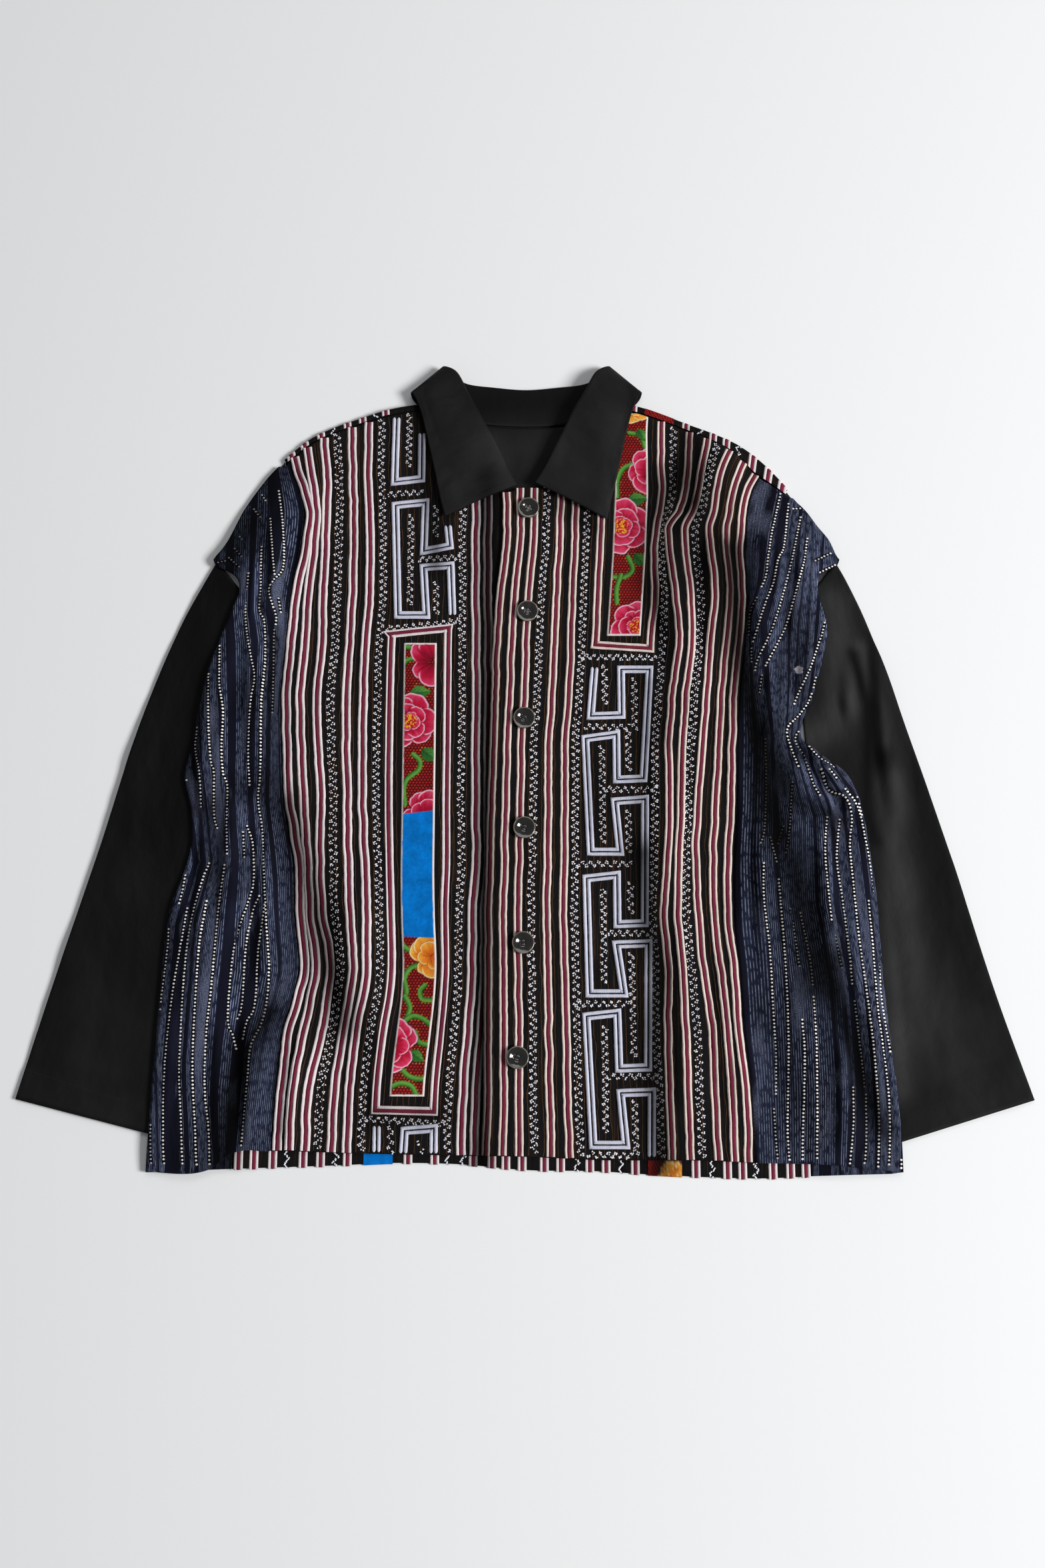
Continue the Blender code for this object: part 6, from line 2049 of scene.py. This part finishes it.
LEFT_DOTS = (
    (1.0, (237, 247), (231, 222), (227, 206), (222, 180), (220, 164), (215, 152)),
    (0.35, (211, 143), (205, 130), (203, 108)),
    (1.0, (244, 237), (240, 206), (237, 190), (231, 178), (226, 156), (218, 136), (206, 100)),
    (0.5, (205, 96), (205, 80)),
    (0.9, (255, 224), (250, 202), (244, 178), (238, 156), (230, 130), (221, 106), (211, 86), (207, 72)),
    (1.0, (260, 202), (256, 180), (250, 160), (243, 136), (236, 114), (228, 98), (216, 76)),
    (0.5, (214, 70), (211, 52)),
    (1.0, (275, 136), (272, 116), (266, 98), (258, 76), (248, 56), (242, 42)),
    (0.9, (263, 68), (257, 48), (247, 33), (235, 19), (238, 2), (244, -16)),
    (0.8, (251, 25), (242, 9), (250, -9), (257, -32), (263, -43)),
    (0.8, (250, 7), (260, -8), (276, -18)),
    (1.0, (276, 0), (284, -16), (293, -34), (299, -60)),
    (0.5, (215, 10), (215, -28), (212, -72), (208, -86)),
    (0.9, (210, -104), (209, -134), (213, -180), (215, -230), (216, -270), (215, -308)),
    (0.5, (213, -318), (214, -348), (215, -362)),
    (0.5, (217, -80), (222, -104)),
    (1.0, (223, -118), (225, -160), (227, -210), (227, -262), (224, -330), (225, -363)),
    (0.3, (238, -30), (234, -74), (230, -96)),
    (0.3, (229, -70), (223, -88)),
    (0.5, (233, -144), (237, -180), (239, -198)),
    (1.0, (239, -242), (240, -276), (237, -330), (236, -363)),
    (0.6, (241, -148), (248, -188), (250, -214)),
    (1.0, (250, -222), (251, -262), (250, -300), (248, -363)),
    (1.0, (268, -62), (264, -96), (266, -134), (268, -158)),
    (0.25, (271, -168), (276, -200)),
    (1.0, (279, -64), (275, -100), (278, -132), (282, -176), (284, -214)),
    (0.4, (285, -226), (288, -262), (291, -300)),
    (0.8, (281, -300), (280, -330), (276, -366)),
    (0.7, (292, -306), (291, -344), (288, -369)),
    (1.0, (263, -20), (270, -38), (284, -46), (290, -62), (287, -88), (288, -122), (291, -170),
     (296, -222), (300, -280), (302, -330), (300, -368)),
    (1.0, (270, -20), (284, -38), (296, -54), (301, -80), (305, -108), (309, -150), (310, -190),
     (309, -220), (314, -262), (319, -300), (321, -340), (320, -370)),
    (1.0, (301, -138), (303, -180), (305, -232), (308, -262), (312, -306), (311, -344), (309, -367)),
    (0.9, (288, -20), (296, -38)),
    (0.9, (248, 232), (258, 232), (265, 224)),
    (0.9, (266, 179), (281, 187)),
    (0.9, (270, 168), (291, 179)),
)
DOT_PITCH, DOT_RADIUS = 3.2, 1.24
DOT_COLOUR = (0.88, 0.84, 0.80)
DARK_LINE_COLOUR = (0.0022, 0.0024, 0.0052)
DARK_LANES = (-1.5, -0.8, 0.0, 0.8, 1.5)  # across the dark stripe that a row of dots stands on
LONGEST_STEP = 5.0  # a dark stripe isn't carried over a wider gap between dots
# A pale blotch on the left side: its middle, then its dots round that, their radius, height and colour.
BLOTCH = (247.0, 74.0)
BLOTCH_DOTS = ((0, 2.2), (1.9, 0.8), (-1.9, 0.6), (0.6, -1.6), (-0.8, -2.0), (1.6, -2.2))
BLOTCH_RADIUS, BLOTCH_HEIGHT, BLOTCH_COLOUR = 2.3, 0.12, (0.40, 0.38, 0.42)


def side_surface(side):
    """Height of a side panel's upper face, for a plan place."""

    def height(x, y):
        seam, outer = guide(side, "seam", y), side_edge(y, side)
        u = np.clip((x - seam) / (outer - seam), 0, 1)
        return side_front_height(side, x, y, u)[1]

    return height


def dark_line(heap, path, surface):
    """The dark warp stripe that a row of dots stands on."""
    if len(path) < 3:
        return
    lanes = path[:, None] + sideways(path)[:, None] * np.array(DARK_LANES)[:, None]
    x, y = lanes[..., 0], lanes[..., 1]
    points = stack(x, y, surface(x, y) + 0.1)
    kept = np.repeat(np.hypot(*np.diff(path, axis=0).T) < LONGEST_STEP, len(DARK_LANES) - 1)
    faces = facing_up(points, grid_faces(*x.shape)[kept], 8)
    heap.add(points, [faces], DARK_LINE_COLOUR)


def dots_of_side(side, finish):
    """The batik's rows of pale dots on one indigo side."""
    heap = Heap()
    surface = side_surface(side)
    rows = LEFT_DOTS if side == "left" else RIGHT_DOTS
    for seed, (strength, *points) in enumerate(rows):
        path = np.array(rounded(points, 8))
        along = distances(path)
        at = np.arange(0.5, along[-1], DOT_PITCH)
        at = at + 0.22 * noise(at * 3.1, seed, 41)
        x = np.interp(at, along, path[:, 0]) + 0.18 * noise(at * 2.3, seed, 42)
        y = np.interp(at, along, path[:, 1])
        # The dots are dimmed by the row's strength: wear, and painted shade in the folds.
        fade_and_painted_shade = strength * (0.86 + 0.14 * noise(at / 9, seed, 43))
        inside = (y < front_top(x, side) - 2) & (y > curve(FRONT_HEM, 1, x) + 2)
        edge = side_edge(y, side)
        seam = guide(side, "seam", y)
        inside &= (np.abs(x) < np.abs(edge) - 1.5) & (np.abs(x) > np.abs(seam) + 1.5)
        x, y, fade_and_painted_shade = x[inside], y[inside], fade_and_painted_shade[inside]
        radius = (DOT_RADIUS + 0.12 * noise(x * 1.7, y * 1.3, 44)) * (0.8 + 0.2 * np.minimum(fade_and_painted_shade, 1))
        dots(heap, x, y, radius, surface, np.outer(fade_and_painted_shade, DOT_COLOUR))
        dark_line(heap, np.column_stack([x, y]), surface)
    if side == "left":
        x, y = (np.array(BLOTCH) + BLOTCH_DOTS).T
        shades = np.tile(BLOTCH_COLOUR, (len(x), 1))
        dots(heap, x, y, BLOTCH_RADIUS, surface, shades, BLOTCH_HEIGHT)
    heap.make("wax_dots_" + side, finish, slot="indigo_cotton")


# ---- looks: the back's bands, seen at the hem and over the shoulders ----

# The back's bands and zigzags, by the X of their middles at the hem.
BACK_BANDS = (
    -247, -234, -218, -192, -177, -154, -102, -79, -46, -30, -18, -4,
    15, 29, 54, 68, 93, 145, 172, 185, 211, 226, 239,
)
BACK_BAND_HEIGHT = 0.42
BACK_ZIGZAGS = (-206, -164, -68, -55, 43, 81, 159, 197)
# Its printed pieces, from X to X at the hem.
BACK_BLUE, BACK_BLUE_COLOUR = (-140, -115), (0.0005, 0.17, 0.58)
BACK_BLUE_ROWS = 22  # the blue piece ends above the hem
BACK_FLOWERS = (104, 133)
BACK_BLOOMS, BACK_BLOOM_LOW, BACK_BLOOM_SPACING, BACK_BLOOM_RADIUS = 14, -378, 52, 15
PATCH_COLUMNS, PATCH_ROWS, PATCH_RAISED = 24, 260, 0.25
BACK_ROWS = 70  # rows down the back for a band or a zigzag
TURN_UP = 16.0  # depth of the hem that is turned up on the inside
TURN_UP_ROWS = 7
HEM_FOLD = (35, 90, 145)  # degrees round the hem's lower edge
LEAST_HEIGHT = 0.02  # nothing on the back goes lower
# Section of a band of the back, flatter than a front's.
LOW_PADDED = ((-0.5, -0.1), (-0.4, 0.7), (0.0, 1.0), (0.4, 0.7), (0.5, -0.1))
# The back's zigzags: width, repeat, stitches' spacing, and how far they go from the hem and shoulder.
BACK_STITCH_WIDTH, BACK_STITCH_REPEAT, BACK_STITCH_PITCH = 7.0, 9.0, 1.05
BACK_STITCH_LOW, BACK_STITCH_HIGH = 40, 60
# Corners of one stitch: along it, across it and up.
BACK_STITCH = (
    (-0.75, -0.5, 0), (-0.75, 0.5, 0), (0.75, 0.5, 0), (0.75, -0.5, 0), (-0.4, 0, 0.5), (0.4, 0, 0.5),
)


def back_run(columns, rows, raised=0.0):
    """Points down the back's outer face, or raised over it, and the outward directions there.

    Columns are given by X at the hem, where the cloth is turned up inside. If one of
    them ends at the neck, the rows past the shoulder's edge are left out.
    """
    low_right, low_left = back_low_ends()
    share = (np.asarray(columns, float) - low_right) / (low_left - low_right)
    x_top = BACK_TOP_RIGHT + (BACK_TOP_LEFT - BACK_TOP_RIGHT) * share
    middle, out = back_middle(x_top, rows)
    x, y = middle[0, :, 0], middle[0, :, 1]
    half = STRIPED / 2
    base = lift(x, y) + half
    turned, faces = [], []
    for back_off in np.linspace(TURN_UP, 0.4, TURN_UP_ROWS):
        turned.append(stack(x, y + back_off, lift(x, y + back_off) + half)[None])
        faces.append(np.broadcast_to([0.0, 0.0, 1.0], (1, len(x), 3)))
    for turn in np.radians(HEM_FOLD):
        turned.append(stack(x, y, base)[None])
        faces.append(np.broadcast_to([0.0, -math.sin(turn), math.cos(turn)], (1, len(x), 3)))
    flat = len(turned) + rows - 1
    middle = np.concatenate(turned + [middle[1:]])
    out = np.concatenate(faces + [out[1:]])
    inside = (np.arange(len(middle)) < len(turned) - 1)[:, None]
    reach = np.where(inside, half, half - BACK_THIN)[..., None]
    kept = slice(flat if (np.abs(x_top) < NECK_HALF).any() else None)
    points = middle[kept] + out[kept] * reach[kept] + out[kept] * np.reshape(raised, (-1, 1))
    return points, out[kept]


def above_ground(points):
    """Points, none of them lower than the least height."""
    points[..., 2] = np.maximum(points[..., 2], LEAST_HEIGHT)
    return points


def back_tape(heap, centre, offset, width):
    """A padded tape along one column of the back."""
    across, up = np.array(LOW_PADDED).T
    points = above_ground(back_run(centre + offset + across * width, BACK_ROWS, up * BACK_BAND_HEIGHT)[0])
    heap.add(points, [facing_up(points, grid_faces(*points.shape[:2]), 16)])


def back_stitches(heap, centre, seed):
    """A zigzag of small stitches along one column of the back."""
    width = BACK_STITCH_WIDTH
    lanes = np.linspace(-width / 2, width / 2, 5)
    face, out = back_run(centre + lanes, BACK_ROWS)
    along = distances(face[:, 2])
    # The stitches are only worked where they can be seen: by the hem and over the shoulder.
    at = np.arange(1.0, along[-1], BACK_STITCH_PITCH)
    at = at[(at < BACK_STITCH_LOW) | (at > along[-1] - BACK_STITCH_HIGH)]
    index = np.arange(len(at))
    lane = index * 0 + seed
    turn = 2 * np.abs(2 * ((at / BACK_STITCH_REPEAT) % 1) - 1) - 1
    shift = turn * (width / 2 - 1.2) + 0.8 * (2 * hashed(index, lane, 51) - 1)
    place = np.clip((shift + width / 2) / width * 4, 0, 3.999)
    k, t = np.floor(place).astype(int), place % 1
    row = np.clip(np.searchsorted(along, at) - 1, 0, len(along) - 2)
    s = (at - along[row]) / np.maximum(along[row + 1] - along[row], 1e-6)

    def pick(grid):
        low = grid[row, k] * (1 - t)[:, None] + grid[row, k + 1] * t[:, None]
        high = grid[row + 1, k] * (1 - t)[:, None] + grid[row + 1, k + 1] * t[:, None]
        return low * (1 - s)[:, None] + high * s[:, None]

    centre_points, up = pick(face), pick(out)
    run = unit(face[row + 1, 2] - face[row, 2])
    side = np.cross(run, up)
    lean = np.where(hashed(index, lane, 52) < 0.5, 0.8, -0.8)
    long = run * np.cos(lean)[:, None] + side * np.sin(lean)[:, None]
    wide = side * np.cos(lean)[:, None] - run * np.sin(lean)[:, None]
    corners = [centre_points + long * a + wide * b + up * c for a, b, c in BACK_STITCH]
    points = above_ground(np.stack(corners, axis=1))
    base = (index * len(BACK_STITCH))[:, None]
    quads = np.concatenate([base + [0, 3, 5, 4], base + [2, 1, 4, 5]])
    heap.add(points, [quads, np.concatenate([base + [1, 0, 4], base + [3, 2, 5]])])


def back_patch(heap, first, last, colours, rows=None):
    """A printed column of the back between two X at the hem, its colours worked out from X and Y."""
    columns = np.linspace(first, last, PATCH_COLUMNS)
    points = above_ground(back_run(columns, PATCH_ROWS, PATCH_RAISED)[0])[:rows]
    faces = facing_up(points, grid_faces(*points.shape[:2]), 80)
    heap.add(points, [faces], colours(points[..., 0], points[..., 1]).reshape(-1, 3))


def back_flowers(x, y):
    """Colours of the back's flowered column."""
    paint = Paint(x, y)
    paint.scales()
    for k in range(BACK_BLOOMS):
        middle = float(np.mean(x[0])) + 6 * (-1) ** k
        up = BACK_BLOOM_LOW + BACK_BLOOM_SPACING * k
        paint.bloom(middle, up, BACK_BLOOM_RADIUS, 60 * k, 3, PINK if k % 3 else YELLOW)
    return paint.shades


def back_blue(x, y):
    """Colours of the back's blue piece."""
    spots = 0.9 + 0.2 * noise(x / 4, y / 4, 61)
    return np.array(BACK_BLUE_COLOUR) * spots[..., None]


def trims_of_back(cream, maroon, bead, patch):
    """Bands, zigzags and printed columns of the back."""
    heaps = {"cream": Heap(), "maroon": Heap()}
    for centre in BACK_BANDS:
        for offset, width, _, colour in TAPES["left"]:
            back_tape(heaps[colour], centre, offset, width)
    heaps["cream"].make("bands_pale_back", cream, slot="striped_cotton")
    heaps["maroon"].make("bands_maroon_back", maroon, slot="striped_cotton")
    heap = Heap()
    for seed, centre in enumerate(BACK_ZIGZAGS):
        back_stitches(heap, centre, seed)
    heap.make("stitches_back", bead, slot="striped_cotton")
    heap = Heap()
    back_patch(heap, *BACK_BLUE, back_blue, BACK_BLUE_ROWS)
    back_patch(heap, *BACK_FLOWERS, back_flowers)
    heap.make("print_back", patch, slot="flower_print")


# ---- looks: stage, light and camera ----


# Camera, in metres: its place, how far it leans from straight down, sensor and lens in millimetres.
CAMERA_PLACE = (-0.0036, -0.3944, 1.578)
CAMERA_LEAN = 13  # degrees
SENSOR, LENS = 36.0, 41.3
FLOOR_REACH = 6.0
FLOOR_HEIGHT = -0.0002
ROOM_COLOUR, ROOM_STRENGTH = (0.97, 0.98, 1.0, 1.0), 0.21
LAMPS = (
    # name, place, size in metres, power in watts. Both face the jacket's middle.
    ("window", (4.0, -0.9, 3.0), 1.7, 325.0),
    ("fill", (0.4, 2.2, 3.4), 2.0, 22.0),
)


def camera_and_light():
    scene = bpy.context.scene
    data = bpy.data.cameras.new("photo_view")
    camera = bpy.data.objects.new("photo_view", data)
    scene.collection.objects.link(camera)
    data.sensor_width, data.lens = SENSOR, LENS
    tilt = Matrix.Rotation(math.radians(CAMERA_LEAN), 4, "X")
    camera.matrix_world = Matrix.Translation(CAMERA_PLACE) @ tilt
    scene.camera = camera

    floor = bpy.data.meshes.new("floor")
    corners = [(x * FLOOR_REACH, y * FLOOR_REACH, 0) for x, y in ((-1, -1), (1, -1), (1, 1), (-1, 1))]
    floor.from_pydata(corners, [], [(0, 1, 2, 3)])
    floor.materials.append(floor_finish())
    placed = bpy.data.objects.new("floor", floor)
    placed.location.z = FLOOR_HEIGHT
    scene.collection.objects.link(placed)

    world = bpy.data.worlds.new("soft_room")
    world.use_nodes = True
    world.node_tree.nodes["Background"].inputs["Color"].default_value = ROOM_COLOUR
    world.node_tree.nodes["Background"].inputs["Strength"].default_value = ROOM_STRENGTH
    scene.world = world
    for name, place, size, power in LAMPS:
        lamp = bpy.data.lights.new(name, "AREA")
        lamp.size, lamp.energy = size, power
        lamp_object = bpy.data.objects.new(name, lamp)
        lamp_object.location = place
        lamp_object.rotation_euler = (-Vector(place)).to_track_quat("-Z", "Y").to_euler()
        scene.collection.objects.link(lamp_object)
    scene.view_settings.view_transform = "Standard"


def main():
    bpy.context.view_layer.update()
    camera_and_light()
    striped, blue, black = striped_ground(), indigo(), twill()
    white = tape_finish("white_strip_cloth", (0.60, 0.61, 0.72), (0.47, 0.48, 0.59))
    cream = tape_finish("cream_band", (0.74, 0.66, 0.665), (0.60, 0.52, 0.53))
    warm = tape_finish("warm_cream_band", (0.72, 0.61, 0.55), (0.57, 0.46, 0.41))
    maroon = tape_finish("maroon_band", (0.175, 0.020, 0.044), (0.095, 0.012, 0.027))
    brown = tape_finish("brown_thread", (0.085, 0.040, 0.016), (0.030, 0.016, 0.009))
    bead = tape_finish("stitch_thread", (0.88, 0.88, 0.95), (0.78, 0.78, 0.87))
    dot = painted("wax_dots")
    printed = painted("flower_print_cloth")
    dark_horn = horn()
    seam_thread = tape_finish("seam_thread", (0.022, 0.022, 0.023), (0.012, 0.012, 0.012))
    thread = tape_finish("button_thread", (0.16, 0.16, 0.165), (0.09, 0.09, 0.09))
    dressed_back(striped)
    trims_of_back(cream, maroon, bead, printed)
    for side in ("right", "left"):
        dressed_sleeve(side, black)
        dressed_side_back(side, blue)
        dressed_front(side, striped)
        dressed_side_front(side, blue)
        bands_of_front(side, cream if side == "right" else warm, maroon)
        stitches_of_front(side, bead)
        hairlines_of_front(side, brown)
        dots_of_side(side, dot)
    dressed_facing(black)
    heap = Heap()
    topstitch(heap, *dressed_collar(black))
    for side in ("right", "left"):
        topstitch(heap, *cuff_line(side))
    heap.make("topstitching", seam_thread, slot="black_twill")
    for name, side, points in (
        ("key_strip_right_top", "right", KEY_RIGHT_TOP),
        ("key_strip_right_middle", "right", KEY_RIGHT_MIDDLE),
        ("key_strip_right_hem_1", "right", KEY_RIGHT_HEM_1),
        ("key_strip_right_hem_2", "right", KEY_RIGHT_HEM_2),
        ("key_strip_left", "left", KEY_LEFT),
    ):
        dressed_key(name, side, points, white)
    dressed_print("print_strip_right", "right", *PRINT_RIGHT, printed)
    dressed_print("print_strip_left", "left", *PRINT_LEFT, printed)
    for number, (x, y) in enumerate(BUTTON_CENTRES, 1):
        disc_button(number, x, y, dark_horn, thread)
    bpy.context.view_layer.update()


main()
